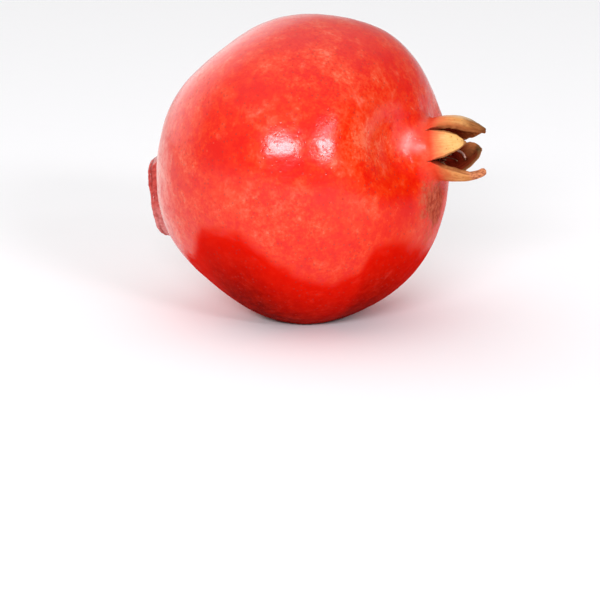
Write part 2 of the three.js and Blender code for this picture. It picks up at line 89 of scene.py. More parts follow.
DEEP = [(4, -18, 41, 5.0, 0.85), (-12, -42, -2, 4.0, 0.35), (9, -29, 33, 3.2, 0.30), (36, -18, -6, 5.0, 0.75), (13, -42, -4, 4.0, 0.35), (-2, -35, 29, 4.4, 0.70), (-7, -37, 25, 3.5, 0.60), (7, -26, 36, 2.9, 0.35), (19, -15, 37, 3.8, 0.70),
        (26, -6, 35, 4.1, 0.60), (17, -28, 30, 2.9, 0.50), (22, -16, 34, 2.6, 0.60), (31, -5, 29, 3.8, 0.60),
        (33, -15, 20, 3.8, 0.80), (13, -37, 20, 2.9, 0.90), (-13, -41, 13, 4.4, 0.80), (-21, -39, 3, 3.2, 0.70),
        (-6, -41, 17, 3.8, 0.50), (8, -42, 12, 3.5, 0.60), (12, -41, 11, 3.5, 0.50), (18, -40, 2, 3.8, 0.60),
        (12, -42, 2, 2.3, 0.50), (4, -44, 0, 2.9, 0.40), (35, -24, -3, 4.1, 0.50), (-26, -30, 20, 2.6, 0.60),
        (38, -12, 2, 2.9, 0.70), (-10, -43, 7, 4.1, 0.50), (16, -8, 41, 4.1, 0.50), (1, -17, 41, 3.5, 0.40),
        (8, -43, 4, 1.2, 0.70), (31, -27, 8, 2.9, 0.40), (-5, -44, 8, 2.3, 0.40), (32, -10, 18, 2.8, 0.80)]
# Soft spots beside the crown: a painted highlight, pale on a duller coat, and spots where the rind is only duller.
PAINTED_HIGHLIGHT_SPOTS = [(34.0, -10.6, 11.6, 2.5, 1.0), (37.0, -9.2, 10.5, 1.6, 0.6), (34.6, -9.5, 14.0, 2.0, 0.5)]
MATT = [(35.4, -10.9, 6.9, 1.9, 0.9), (34.3, -10.4, 10.6, 2.8, 0.50), (36.9, -9.5, 9.8, 1.8, 0.45),
        (24.0, -30.0, 24.0, 3.6, 0.80), (24.0, -32.0, 18.0, 3.8, 0.90), (24.5, -32.5, 11.0, 3.8, 0.90),
        (27.0, -29.5, 5.0, 3.8, 0.90), (30.5, -24.0, 1.5, 3.6, 0.90), (33.5, -17.0, 1.0, 3.2, 0.75)]
RUSSET = [(41, -4, -6, 7.0, 1.2), (41, 3, -7, 6.0, 0.7), (40, -2, -16, 6.0, 0.35), (34, 20, 14, 9.0, 0.7), (-30, 24, -8, 10.0, 0.6), (-34, -8, 22, 5.0, 0.4)]
# Painted shade: below this edge the rind is painted a deep red that stands in for shade and a red reflection from
# below. The edge's height (mm from the centre) by compass angle (degrees).
PAINTED_SHADE_EDGE = [(-180, -17.0), (-150, -24.0), (-126.5, -19.5), (-115.5, -10.2), (-97, -9.8), (-86, -17.0), (-73, -22.4),
             (-62, -24.0), (-49, -21.6), (-43, -14.5), (-32, -13.6), (-13, -19.0), (15, -24.0), (45, -17.0),
             (75, -12.0), (105, -20.0), (140, -14.0), (180, -17.0)]


# ------------------------------------------------------------------ small helpers
def sm(x):
    x = np.clip(x, 0.0, 1.0)
    return x * x * (3 - 2 * x)


class Noise:
    """Smooth gradient noise, about -1 to 1, the same each run."""

    def __init__(self, seed):
        rng = np.random.default_rng(seed)
        self.perm = np.tile(rng.permutation(256), 3)
        g = rng.normal(size=(256, 3))
        self.g = g / np.linalg.norm(g, axis=1, keepdims=True)

    def __call__(self, p):
        p = np.asarray(p, float)
        shape = p.shape[:-1]
        p = p.reshape(-1, 3)
        i = np.floor(p).astype(int)
        f = p - i
        u = f ** 3 * (f * (f * 6 - 15) + 10)
        i &= 255
        out = np.zeros(len(p))
        for dx in (0, 1):
            wx = u[:, 0] if dx else 1 - u[:, 0]
            a = self.perm[(i[:, 0] + dx) & 255]
            for dy in (0, 1):
                wy = u[:, 1] if dy else 1 - u[:, 1]
                b = self.perm[a + ((i[:, 1] + dy) & 255)]
                for dz in (0, 1):
                    wz = u[:, 2] if dz else 1 - u[:, 2]
                    h = self.perm[b + ((i[:, 2] + dz) & 255)]
                    d = f - np.array([dx, dy, dz])
                    out += wx * wy * wz * (self.g[h] * d).sum(1)
        return (out * 1.6).reshape(shape)


n1, n2, n3 = Noise(11), Noise(23), Noise(37)


def bez(p0, p1, p2, p3, t):
    t = t[:, None, None]
    s = 1 - t
    return s ** 3 * p0 + 3 * s * s * t * p1 + 3 * s * t * t * p2 + t ** 3 * p3


def radius(th, ps):
    """The rind's distance from the fruit's centre, th from the crown and ps about the axis."""
    st, ct = np.sin(th), np.cos(th)
    r = 1 / np.sqrt((ct / POLAR) ** 2 + (st / EQUATOR) ** 2)
    e1, e2, a = st * np.cos(ps), st * np.sin(ps), ct * np.ones_like(ps)
    f = st * st * (0.0085 * np.cos(5 * ps + 0.5) + 0.0060 * np.cos(3 * ps - 1.1) + 0.0045 * np.cos(6 * ps + 2.0))
    for kx, ky, kz, p, am in UNDULATION:
        f = f + am * np.sin(kx * e1 + ky * e2 + kz * a + p)
    f = f - 0.060 * np.exp(-((th / 0.46) ** 2)) - 0.030 * np.exp(-(((PI - th) / 0.50) ** 2))
    H = HOLLOW
    near = a * cos(H["th"]) + sin(H["th"]) * (e1 * cos(H["ps"]) + e2 * sin(H["ps"]))
    f = f - H["depth"] * np.exp(-((np.arccos(np.clip(near, -1, 1)) / H["width"]) ** 2))
    d = a[..., None] * AXIS + e1[..., None] * UP + e2[..., None] * SIDE
    for amount, at in zip(LUMPS, LUMP_AT):
        f = f + amount * np.exp(-((np.arccos(np.clip(d @ at, -1, 1)) / LUMP_W) ** 2))
    return r * (1 + f)


def boss_wave(ps):
    q = ps - rad(80.8)
    c = np.cos(q)
    across = np.where(c > 0, 9.8, 11.0)
    n = 3.2
    return ((np.abs(c / across) ** n + np.abs(np.sin(q) / 12.0) ** n) ** (-1 / n) / 11.0
            * (1 + 0.010 * np.cos(7 * ps + 0.9) + 0.006 * np.cos(11 * ps + 1.0)))


# ------------------------------------------------------------------ the rind's mesh
FIELDS = ("neck", "run", "across", "inner", "cup", "boss", "edge", "sepal", "turn")


class Shell:
    """Vertices in the axis frame (L, x, y) with their fields, and the faces between them."""

    def __init__(self):
        self.co, self.at, self.faces, self.n = [], [], [], 0

    def add(self, p, **fields):
        p = np.asarray(p, float).reshape(-1, 3)
        a = np.zeros((len(p), len(FIELDS)))
        for name, value in fields.items():
            a[:, FIELDS.index(name)] = value
        self.co.append(p)
        self.at.append(a)
        first = self.n
        self.n += len(p)
        return np.arange(first, self.n)

    def band(self, a, b):
        """Quads between two closed rows."""
        n = len(a)
        for c in range(n):
            d = (c + 1) % n
            self.faces.append((a[c], a[d], b[d], b[c]))


def sepal_grid(k, lb, ws, nv):
    b0, b1 = rad(lb["b0"]), rad(lb["b1"])
    mid, half, tip = (b0 + b1) / 2, (b1 - b0) / 2, rad(lb["t"])
    w = ws[:, None]
    v = np.linspace(-1, 1, nv + 1)[None, :]
    p0, p3 = np.array([RIM_L, RIM_R]), np.array([lb["L"], lb["R"]])
    d = np.linalg.norm(p3 - p0)
    p1 = p0 + np.array([0.34 * d, lb["g"] * 0.6])
    lean = (p3 - p1) / np.linalg.norm(p3 - p1)
    p2 = p3 - lean * 0.33 * d + np.array([0, lb["g2"] * 0.9])
    s = 1 - w
    c = s ** 3 * p0 + 3 * s * s * w * p1 + 3 * s * w * w * p2 + w ** 3 * p3
    dc = 3 * s * s * (p1 - p0) + 6 * s * w * (p2 - p1) + 3 * w * w * (p3 - p2)
    dc /= np.linalg.norm(dc, axis=1, keepdims=True)
    kk = sm(w * 3.0)
    dc = dc * kk + np.array([1.0, 0.0]) * (1 - kk)
    dc /= np.linalg.norm(dc, axis=1, keepdims=True)
    turn = mid + (tip - mid) * sm(w)
    rc = RIM_R + (lb["rc"] - RIM_R) * sm(w)
    h = RIM_R * half * np.maximum((1 - w ** lb["p"]) ** lb["q"], 0.07)
    # the torn, wavy edges differ on the two sides
    side = np.where(v < 0, -1.0, 1.0)
    wav = n1(np.stack(np.broadcast_arrays(w * 4.2 + 7.3 * k, side * 3.1 + 0 * w, 0.4 + 0 * w * v), -1))
    wav += 0.5 * n2(np.stack(np.broadcast_arrays(w * 11.0 + 3.3 * k, side * 5.7 + 0 * w, 1.7 + 0 * w * v), -1))
    h = h * (1 + lb["wavy"] * wav * sm((w - 0.12) / 0.35))
    h = h - 0.27 * sm(w / 0.08) * (1 - 0.6 * sm((w - 0.5) / 0.4))
    be = v * h / rc
    z = 0 * be
    n0, t0 = np.stack([np.cos(turn), np.sin(turn)], -1), np.stack([-np.sin(turn), np.cos(turn)], -1)
    ro = rad(lb["roll"]) * sm(w * 1.4)
    nr = n0 * np.cos(ro)[..., None] + t0 * np.sin(ro)[..., None]
    tr = t0 * np.cos(ro)[..., None] - n0 * np.sin(ro)[..., None]
    cb, sb = np.cos(be)[..., None], np.sin(be)[..., None]
    p2d = n0 * c[:, 1][:, None, None] - nr * rc[..., None] * (1 - cb) + tr * rc[..., None] * sb
    n2d = nr * cb + tr * sb
    thick = (WALL + (lb["tt"] - WALL) * w ** 0.8) * (1 - 0.50 * np.abs(v) ** 3 * sm(w * 3))
    outer = np.concatenate([(c[:, 0][:, None] + z)[..., None], p2d], -1)
    normal = np.concatenate([(-dc[:, 1][:, None] + z)[..., None], n2d * dc[:, 0][:, None, None]], -1)
    # ragged tip
    rag = n3(np.stack(np.broadcast_arrays(v * 2.6 + 5.1 * k, w * 2.0, 0.3 + 0 * w * v), -1)) * 0.55 * sm((w - 0.65) / 0.3)
    rag *= np.minimum(h / (0.36 * RIM_R * half), 1.0) ** 1.5
    outer[..., 0] += rag * dc[:, 0][:, None]
    inner = outer - normal * thick[..., None]
    return outer, inner


def make_rind(nv, nw, ns, nb, nc, ni, ne):
    m = Shell()
    ring = np.concatenate([np.radians(s["b0"] + (s["b1"] - s["b0"]) * np.arange(nv) / nv) for s in SEPALS])
    n = len(ring)
    even = ring[0] + 2 * PI * np.arange(n) / n
    wave = boss_wave(even)
    one = np.ones(n)
    B = BOSS

    def pt(L, r):
        return np.stack([L * one, r * one], -1)

    blocks = []
    t = np.arange(1, ns[0] + 1) / ns[0]
    blocks.append(("dimple", np.stack([np.full((len(t), n), B["floor"]), B["r0"] * wave[None] * t[:, None]], -1), t))
    t = np.arange(1, ns[1] + 1) / ns[1]
    blocks.append(("dimple", bez(pt(B["floor"], B["r0"] * wave), pt(B["floor"] - 0.2, (B["r0"] + 1.3) * wave),
                                 pt(B["top"], (B["r1"] - 2.6) * wave), pt(B["top"], B["r1"] * wave), t), t))
    t = np.arange(1, ns[2] + 1) / ns[2]
    blocks.append(("wall", bez(pt(B["top"], B["r1"] * wave), pt(B["top"], (B["r1"] + 1.6) * wave),
                               pt(B["wall"] - 1.25, B["r2"] * wave), pt(B["wall"], B["r2"] * wave), t), t))
    th0, e = PI - BOSS_ANGLE, 0.01
    ra, rb = radius(th0 * one, even), radius((th0 - e) * one, even)
    pb = np.stack([ra * cos(th0), ra * sin(th0)], -1)
    pb2 = np.stack([rb * cos(th0 - e), rb * sin(th0 - e)], -1)
    tb = pb2 - pb
    tb /= np.linalg.norm(tb, axis=1, keepdims=True)
    p0 = pt(B["wall"], B["r2"] * wave)
    d = np.linalg.norm(pb - p0, axis=1, keepdims=True)
    t = np.arange(1, ns[3] + 1) / ns[3]
    blocks.append(("fillet", bez(p0, p0 + np.array([0.42, 0]) * d, pb - tb * 0.55 * d, pb, t), t))

    pole = m.add([[B["floor"], BOSS_C[0], BOSS_C[1]]], boss=1.0, cup=0.0)
    rows = []
    for kind, grid, ts in blocks:
        for j, row in enumerate(grid):
            k = 1.0 if kind != "fillet" else 1 - float(sm((j + 1) / ns[3]))
            p = np.stack([row[:, 0], row[:, 1] * np.cos(even) + k * BOSS_C[0], row[:, 1] * np.sin(even) + k * BOSS_C[1]], -1)
            rows.append(m.add(p, boss=1.0 if kind != "fillet" else 1 - float(sm(ts[j] * 1.15)), turn=even,
                              edge={"dimple": 0.0, "wall": 0.0, "fillet": 0.0}[kind]))
    # the body
    x = np.arange(1, nb + 1) / nb
    th = th0 + (NECK_ANGLE - th0) * x
    mm = sm((x - 0.55) / 0.45)
    ps = even[None] * (1 - mm[:, None]) + ring[None] * mm[:, None]
    r = radius(np.broadcast_to(th[:, None], ps.shape), ps)
    for j in range(nb):
        p = np.stack([r[j] * cos(th[j]), r[j] * sin(th[j]) * np.cos(ps[j]), r[j] * sin(th[j]) * np.sin(ps[j])], -1)
        rows.append(m.add(p, neck=0.3 * float(sm((rad(42) - th[j]) / rad(17))), turn=ps[j]))
    # up to the crown
    th1 = NECK_ANGLE
    ra, rb = radius(th1 * one, ring), radius((th1 + e) * one, ring)
    pb = np.stack([ra * cos(th1), ra * sin(th1)], -1)
    pb2 = np.stack([rb * cos(th1 + e), rb * sin(th1 + e)], -1)
    tb = pb - pb2
    tb /= np.linalg.norm(tb, axis=1, keepdims=True)
    p3 = pt(RIM_L, RIM_R * one)
    d = np.linalg.norm(pb - p3, axis=1, keepdims=True)
    t = np.arange(1, nc + 1) / nc
    less = (HOLLOW["slope"] * np.exp(-(1 - np.cos(ring - HOLLOW["ps"])) / HOLLOW["slope_width"]))[:, None]
    grid = bez(pb, pb + tb * (0.62 - less) * d, p3 - np.concatenate([0.36 - less, np.full_like(less, -0.02)], 1) * d, p3, t)
    for j, row in enumerate(grid):
        p = np.stack([row[:, 0], row[:, 1] * np.cos(ring), row[:, 1] * np.sin(ring)], -1)
        rows.append(m.add(p, neck=0.3 + 0.7 * t[j], turn=ring))
    for c in range(n):
        m.faces.append((pole[0], rows[0][(c + 1) % n], rows[0][c]))
    for a, b in zip(rows[:-1], rows[1:]):
        m.band(a, b)
    outer = rows[-1]
    # the cup
    inner = m.add(np.stack([RIM_L * one, (RIM_R - WALL) * np.cos(ring), (RIM_R - WALL) * np.sin(ring)], -1),
                  neck=1.0, inner=1.0, turn=ring)
    cup = [inner]
    t = np.arange(1, ni + 1) / ni
    q = bez(np.array([RIM_L, RIM_R - WALL]), np.array([RIM_L - 4.5, RIM_R - WALL - 0.1]),
            np.array([CUP_FLOOR, 6.2]), np.array([CUP_FLOOR, 2.0]), t)[:, 0]
    for j in range(ni):
        cup.append(m.add(np.stack([q[j, 0] * one, q[j, 1] * np.cos(ring), q[j, 1] * np.sin(ring)], -1),
                         neck=1.0, inner=1.0, cup=t[j], turn=ring))
    pole2 = m.add([[CUP_FLOOR, 0, 0]], neck=1.0, inner=1.0, cup=1.0)
    for a, b in zip(cup[:-1], cup[1:]):
        m.band(a, b)
    for c in range(n):
        m.faces.append((cup[-1][c], cup[-1][(c + 1) % n], pole2[0]))
    # the sepals
    co = np.concatenate(m.co)
    bend = [PI * (i + 1) / (ne + 1) for i in range(ne)]
    notch = []
    for k in range(5):
        a, b = co[outer[k * nv]], co[inner[k * nv]]
        notch.append([m.add((a + b) / 2 + (a - b) / 2 * cos(f), neck=1.0, inner=0.5 - 0.5 * cos(f), turn=ring[k * nv])[0]
                      for f in bend])
    ws = np.linspace(0, 1, nw + 1)
    ws = 0.55 * np.sin(ws * PI / 2) + 0.45 * ws
    ws[-1] = 1.0
    v = np.linspace(-1, 1, nv + 1)
    for k, lb in enumerate(SEPALS):
        og, ig = sepal_grid(k, lb, ws, nv)
        cols = [(k * nv + i) % n for i in range(nv + 1)]
        turns = np.radians(lb["b0"] + (lb["b1"] - lb["b0"]) * (v + 1) / 2)
        O, I = [[outer[c] for c in cols]], [[inner[c] for c in cols]]
        for j in range(1, nw + 1):
            w = ws[j]
            edge = np.maximum(sm((np.abs(v) - 0.74) / 0.26), float(sm((w - 0.84) / 0.16))) * float(sm(w * 5))
            O.append(m.add(og[j], neck=1.0, run=w, across=v, edge=edge, sepal=k / 4, turn=turns))
            I.append(m.add(ig[j], neck=1.0, run=w, across=v, inner=1.0, edge=edge, sepal=k / 4, turn=turns))
        for j in range(nw):
            for i in range(nv):
                m.faces.append((O[j][i], O[j][i + 1], O[j + 1][i + 1], O[j + 1][i]))
                m.faces.append((I[j][i + 1], I[j][i], I[j + 1][i], I[j + 1][i + 1]))
        path = [(0, j) for j in range(nw + 1)] + [(i, nw) for i in range(1, nv + 1)] + [(nv, j) for j in range(nw - 1, -1, -1)]
        mids = []
        for i, j in path:
            if j == 0:
                mids.append(notch[k] if i == 0 else notch[(k + 1) % 5])
                continue
            a, b = og[j, i], ig[j, i]
            th_ = np.linalg.norm(a - b)
            across_ = og[j, i] - og[j, 1 if i == 0 else nv - 1]
            along_ = og[j, i] - og[j - 1, i]
            if i in (0, nv) and j < nw:
                q = across_
            elif j == nw and 0 < i < nv:
                q = along_
            else:
                q = along_ / (np.linalg.norm(along_) + 1e-9) + across_ / (np.linalg.norm(across_) + 1e-9)
            q = q / (np.linalg.norm(q) + 1e-9)
            mids.append([m.add((a + b) / 2 + (a - b) / 2 * cos(f) + q * th_ * 0.42 * sin(f) * float(sm(ws[j] / 0.45)), neck=1.0, run=ws[j],
                               across=v[i], inner=0.5 - 0.5 * cos(f), edge=float(sm(ws[j] * 5)), sepal=k / 4,
                               turn=turns[i])[0] for f in bend])
        for a in range(len(path) - 1):
            (i0, j0), (i1, j1) = path[a], path[a + 1]
            r0 = [O[j0][i0]] + mids[a] + [I[j0][i0]]
            r1 = [O[j1][i1]] + mids[a + 1] + [I[j1][i1]]
            for e_ in range(len(r0) - 1):
                m.faces.append((r0[e_], r1[e_], r1[e_ + 1], r0[e_ + 1]))
    return m


def to_world(p):
    return p[:, 0:1] * AXIS + p[:, 1:2] * UP + p[:, 2:3] * SIDE


def triangles(faces):
    out = []
    for f in faces:
        out.append(f[:3])
        if len(f) == 4:
            out.append((f[0], f[2], f[3]))
    return np.array(out)


def normals(p, tri):
    n = np.zeros_like(p)
    a = np.cross(p[tri[:, 1]] - p[tri[:, 0]], p[tri[:, 2]] - p[tri[:, 0]])
    for i in range(3):
        for k in range(3):
            n[:, k] += np.bincount(tri[:, i], a[:, k], len(p))
    return n / (np.linalg.norm(n, axis=1, keepdims=True) + 1e-12)


def settle(w):
    """The small flat spot under the fruit, and the shift to the row frame."""
    s = w[:, 2] + UP_CENTRE
    out = w.copy()
    out[:, 2] = np.where(s <= 0, 0, np.where(s < FLAT_EASE, s * s / (2 * FLAT_EASE), s - FLAT_EASE / 2))
    out[:, 0] += CENTRE[0]
    out[:, 1] += CENTRE[1]
    return out


def mesh_object(name, verts_mm, faces, fields=None, vectors=None, smooth=True):
    me = bpy.data.meshes.new(name)
    me.from_pydata((verts_mm * 0.001).tolist(), [], [tuple(int(i) for i in f) for f in faces])
    me.polygons.foreach_set("use_smooth", [smooth] * len(me.polygons))
    for key, values in (fields or {}).items():
        a = me.attributes.new(key, "FLOAT", "POINT")
        a.data.foreach_set("value", np.asarray(values, np.float32))
    for key, values in (vectors or {}).items():
        a = me.attributes.new(key, "FLOAT_VECTOR", "POINT")
        a.data.foreach_set("vector", np.asarray(values, np.float32).ravel())
    me.update()
    ob = bpy.data.objects.new(name, me)
    bpy.context.scene.collection.objects.link(ob)
    return ob


def spots(w, places, wobble):
    p = w + wobble
    out = np.zeros(len(w))
    for x, y, z, r, amount in places:
        out += amount * np.exp(-(((p - np.array([x, y, z])) ** 2).sum(1) / (r * r)))
    return out


def build_rind():
    m = make_rind(nv=64, nw=30, ns=(3, 12, 9, 12), nb=128, nc=16, ni=12, ne=3)
    ax = np.concatenate(m.co)
    at = np.concatenate(m.at)
    f = {name: at[:, i] for i, name in enumerate(FIELDS)}
    tri = triangles(m.faces)
    w = to_world(ax)
    nor = normals(w, tri)
    turn = f["turn"]
    sepal_run = f["run"]
    plain = (1 - f["boss"]) * (1 - f["inner"]) * (sepal_run == 0)
    s_along = ax[:, 0] - RIM_L
    ringed = np.stack([np.cos(turn), np.sin(turn), 0 * turn], -1)

    # relief (mm)
    relief = plain * (0.085 * n1(w / 7.5) + 0.045 * n2(w / 3.6 + 9) + 0.018 * n3(w / 1.9 + 4))
    # ridges that run out of the crown down onto the body
    r_vec = ringed * (9.15 / 3.2) + np.stack([0 * turn, 0 * turn, s_along / 16], -1)
    ridge = n2(r_vec) + 0.25 * n3(r_vec * 2.1)
    calm = 1 - 0.85 * np.exp(-((((turn - rad(80) + PI) % (2 * PI) - PI) / 0.75) ** 2))
    relief += plain * 0.060 * calm * ridge * sm((f["neck"] - 0.05) / 0.5) * (1 - 0.5 * sm((f["neck"] - 0.7) / 0.3))
    folds = n1(w / 2.9 + 5) * sm((f["neck"] - 0.12) / 0.3) * (1 - sm((f["neck"] - 0.75) / 0.25))
    relief += plain * 0.10 * calm * folds
    # each gap between two sepals runs on as a crease in the neck
    crease = np.zeros(len(w))
    for sp, reach in zip(SEPALS, (1.4, 1.5, 1.7, 1.2, 1.2)):
        gap = np.abs((turn - rad(sp["b0"]) + PI) % (2 * PI) - PI) * RIM_R
        fade = sm((s_along + reach) / 1.4) * (sepal_run == 0)
        crease = np.maximum(crease, np.exp(-((gap / (0.16 + 0.10 * fade)) ** 2)) * fade)
    crease *= (1 - f["inner"]) * (f["neck"] > 0)
    relief -= 0.45 * crease
    # the slits at the sepals' sides near their base, which get painted shade below
    slit = np.clip((np.abs(f["across"]) - 0.92) / 0.07, 0, 1) * (1 - sm((sepal_run - 0.10) / 0.35)) * (sepal_run > 0)
    # long veins on the sepals
    v_vec = ringed * (9.15 / 0.62) + np.stack([0 * turn, 0 * turn, s_along / 7 + 3 * f["inner"]], -1)
    vein = n1(v_vec) + 0.6 * n3(v_vec * 1.9)
    on_sepal = sm(sepal_run * 4)
    relief += (0.035 + 0.045 * on_sepal) * vein * sm((f["neck"] - 0.8) / 0.2) * (1 - f["cup"])
    relief += on_sepal * 0.16 * n2(w / 1.7 + 3) * (0.35 + 0.65 * f["edge"])
    # the boss: a groove round its wall, crumpled rim and lines that run out of the dimple
    bx, by = ax[:, 1] - BOSS_C[0], ax[:, 2] - BOSS_C[1]
    br = np.hypot(bx, by)
    ba = np.arctan2(by, bx)
    b_vec = np.stack([np.cos(ba) * 6.5, np.sin(ba) * 6.5, ax[:, 0] / 5], -1)
    groove = np.exp(-(((ax[:, 0] + 44.75 + 0.25 * n1(b_vec * 0.5)) / 0.33) ** 2)) * sm((br - 8.6) / 1.0)
    lines = n2(b_vec * 1.3) + 0.5 * n3(b_vec * 2.7)
    relief += f["boss"] * (-0.34 * groove + 0.15 * lines * sm((br - 2.6) / 2.0) + 0.10 * n1(w / 1.6))
    relief += 0.10 * f["cup"] * (1 - f["cup"]) * 4 * n1(w / 1.4)
    # the sepals' narrow tips stay smooth
    relief *= 1 - 0.96 * sm((sepal_run - 0.84) / 0.11)
    w2 = w + nor * relief[:, None]

    wob = np.stack([n1(w / 5.0), n2(w / 5.0 + 3), n3(w / 5.0 + 6)], -1) * 2.4 \
        + np.stack([n2(w / 1.8), n3(w / 1.8 + 3), n1(w / 1.8 + 6)], -1) * 0.8
    # the rind's mottling, with painted light from the last line of pale patches
    mottle_and_painted_light = spots(w, PALE_MOTTLE_AND_PAINTED_LIGHT, wob) - spots(w, DEEP, wob)
    out_ = w / np.linalg.norm(w, axis=1, keepdims=True)
    # painted reflection: a paler limb towards the stem side, fading on the half turned from the view
    stem_limb_reflection = np.clip((out_ @ np.array([-0.968, -0.240, -0.070]) - 0.79) / 0.21, 0, 1) * sm((out_ @ VIEW + 0.42) / 0.32)
    dull = sm((out_ @ np.array([0.93, -0.18, -0.32]) - 0.70) / 0.26)
    # painted shade: how far each point lies below the painted shade's edge, softened on the side turned from the view
    compass = np.degrees(np.arctan2(w[:, 1], w[:, 0]))
    line = np.interp(compass, [a for a, _ in PAINTED_SHADE_EDGE], [h for _, h in PAINTED_SHADE_EDGE])
    low = (line - w[:, 2]) / (1 + 2.2 * sm((0.05 - out_ @ VIEW) / 0.6))
    fields = dict(neck=f["neck"], run=sepal_run, across=f["across"], inner=f["inner"], cup=f["cup"], boss=f["boss"],
                  edge=f["edge"], sepal=f["sepal"], mottle_and_painted_light=mottle_and_painted_light * plain, low=low,
                  russet=spots(w, RUSSET, wob * 1.5) * plain, stem_limb_reflection=stem_limb_reflection * plain, high=w[:, 2],
                  painted_highlight=np.clip(spots(w, PAINTED_HIGHLIGHT_SPOTS, wob * 0.25), 0, 1) * plain, dull=np.clip(dull + spots(w, MATT, wob * 0.2) * 1.3, 0, 1.4) * plain,
                  groove=groove * f["boss"] * (0.25 + 0.75 * sm(n2(b_vec * 0.35 + 2) * 1.6 + 0.6)), br=br, crease=np.maximum(crease, 0.9 * slit),
                  warm=np.interp(f["sepal"], [0, 0.25, 0.5, 0.75, 1.0], [0.55, 0.0, 0.85, 0.6, 0.6]))
    vein_at = np.stack([9.15 * np.cos(turn), 9.15 * np.sin(turn), s_along], -1)
    ob = mesh_object("rind_and_calyx", settle(w2), m.faces, fields, dict(vein=vein_at, axial=ax))
    return ob


# ------------------------------------------------------------------ materials
class Mat:
    """Builds one node material."""

    def __init__(self, name):
        self.mat = bpy.data.materials.new(name)
        self.mat.use_nodes = True
        self.nt = self.mat.node_tree
        self.nt.nodes.clear()
        self.out = self.new("ShaderNodeOutputMaterial")
        self.bsdf = self.new("ShaderNodeBsdfPrincipled")
        self.nt.links.new(self.bsdf.outputs[0], self.out.inputs[0])

    def new(self, kind, **props):
        n = self.nt.nodes.new(kind)
        for k, v in props.items():
            setattr(n, k, v)
        return n

    def put(self, socket, v):
        if isinstance(v, bpy.types.NodeSocket):
            self.nt.links.new(v, socket)
        else:
            socket.default_value = v

    def set(self, name, v):
        self.put(self.bsdf.inputs[name], v)

    def place(self):
        """Place on the object in millimetres."""
        tc = self.new("ShaderNodeTexCoord")
        return self.scale(tc.outputs["Object"], 1000.0)

    def attr(self, name, vector=False):
        n = self.new("ShaderNodeAttribute", attribute_type="GEOMETRY", attribute_name=name)
        return n.outputs["Vector" if vector else "Fac"]

    def m(self, op, a, b=0.0, c=0.0, clamp=False):
        n = self.new("ShaderNodeMath", operation=op, use_clamp=clamp)
        for i, v in enumerate((a, b, c)):
            self.put(n.inputs[i], v)
        return n.outputs[0]

    def add(self, *xs):
        out = xs[0]
        for x in xs[1:]:
            out = self.m("ADD", out, x)
        return out

    def mul(self, *xs):
        out = xs[0]
        for x in xs[1:]:
            out = self.m("MULTIPLY", out, x)
        return out

    def sub(self, a, b):
        return self.m("SUBTRACT", a, b)

    def inv(self, a):
        return self.m("SUBTRACT", 1.0, a, clamp=True)

    def off(self, a, gain=1.0):
        """Noise between 0 and 1 turned to plus and minus."""
        return self.m("MULTIPLY_ADD", a, gain, -0.5 * gain)

    def step(self, v, lo, hi, to0=0.0, to1=1.0):
        n = self.new("ShaderNodeMapRange", interpolation_type="SMOOTHSTEP", clamp=True)
        self.put(n.inputs[0], v)
        for i, x in enumerate((lo, hi, to0, to1)):
            self.put(n.inputs[i + 1], x)
        return n.outputs[0]

    def scale(self, vec, k):
        n = self.new("ShaderNodeVectorMath", operation="SCALE")
        self.put(n.inputs[0], vec)
        self.put(n.inputs["Scale"], k)
        return n.outputs[0]

    def vmul(self, vec, k):
        n = self.new("ShaderNodeVectorMath", operation="MULTIPLY")
        self.put(n.inputs[0], vec)
        self.put(n.inputs[1], k)
        return n.outputs[0]

    def vadd(self, a, b):
        n = self.new("ShaderNodeVectorMath", operation="ADD")
        self.put(n.inputs[0], a)
        self.put(n.inputs[1], b)
        return n.outputs[0]

    def noise(self, vec, scale, detail=2.0, rough=0.5, colour=False, dist=0.0):
        n = self.new("ShaderNodeTexNoise", noise_dimensions="3D")
        self.put(n.inputs["Vector"], vec)
        n.inputs["Scale"].default_value = scale
        n.inputs["Detail"].default_value = detail
        n.inputs["Roughness"].default_value = rough
        n.inputs["Distortion"].default_value = dist
        return n.outputs["Color" if colour else "Fac"]

    def cells(self, vec, scale, rand=1.0):
        n = self.new("ShaderNodeTexVoronoi", voronoi_dimensions="3D", feature="F1")
        self.put(n.inputs["Vector"], vec)
        n.inputs["Scale"].default_value = scale
        n.inputs["Randomness"].default_value = rand
        sep = self.new("ShaderNodeSeparateColor")
        self.put(sep.inputs[0], n.outputs["Color"])
        return n.outputs["Distance"], sep.outputs[0], sep.outputs[1]

    def warp(self, vec, scale, amount):
        c = self.noise(vec, scale, 2.0, 0.5, colour=True)
        n = self.new("ShaderNodeVectorMath", operation="SUBTRACT")
        self.put(n.inputs[0], c)
        self.put(n.inputs[1], (0.5, 0.5, 0.5))
        return self.vadd(vec, self.scale(n.outputs[0], amount))

    def mix(self, f, a, b, blend="MIX"):
        n = self.new("ShaderNodeMix", data_type="RGBA", blend_type=blend, clamp_factor=True)
        self.put(n.inputs[0], f)
        for i, v in ((6, a), (7, b)):
            if isinstance(v, tuple) and len(v) == 3:
                v = (*v, 1.0)
            self.put(n.inputs[i], v)
        return n.outputs[2]

    def ramp(self, f, stops):
        n = self.new("ShaderNodeValToRGB")
        r = n.color_ramp
        r.interpolation = "EASE"
        while len(r.elements) < len(stops):
            r.elements.new(0.5)
        for el, (pos, col) in zip(r.elements, stops):
            el.position = pos
            el.color = (*col, 1.0) if isinstance(col, tuple) else (col, col, col, 1.0)
        self.put(n.inputs[0], f)
        return n.outputs[0]

    def bump(self, height_mm, strength=1.0, normal=None):
        n = self.new("ShaderNodeBump")
        n.inputs["Strength"].default_value = strength
        n.inputs["Distance"].default_value = 0.001
        self.put(n.inputs["Height"], height_mm)
        if normal is not None:
            self.put(n.inputs["Normal"], normal)
        return n.outputs[0]


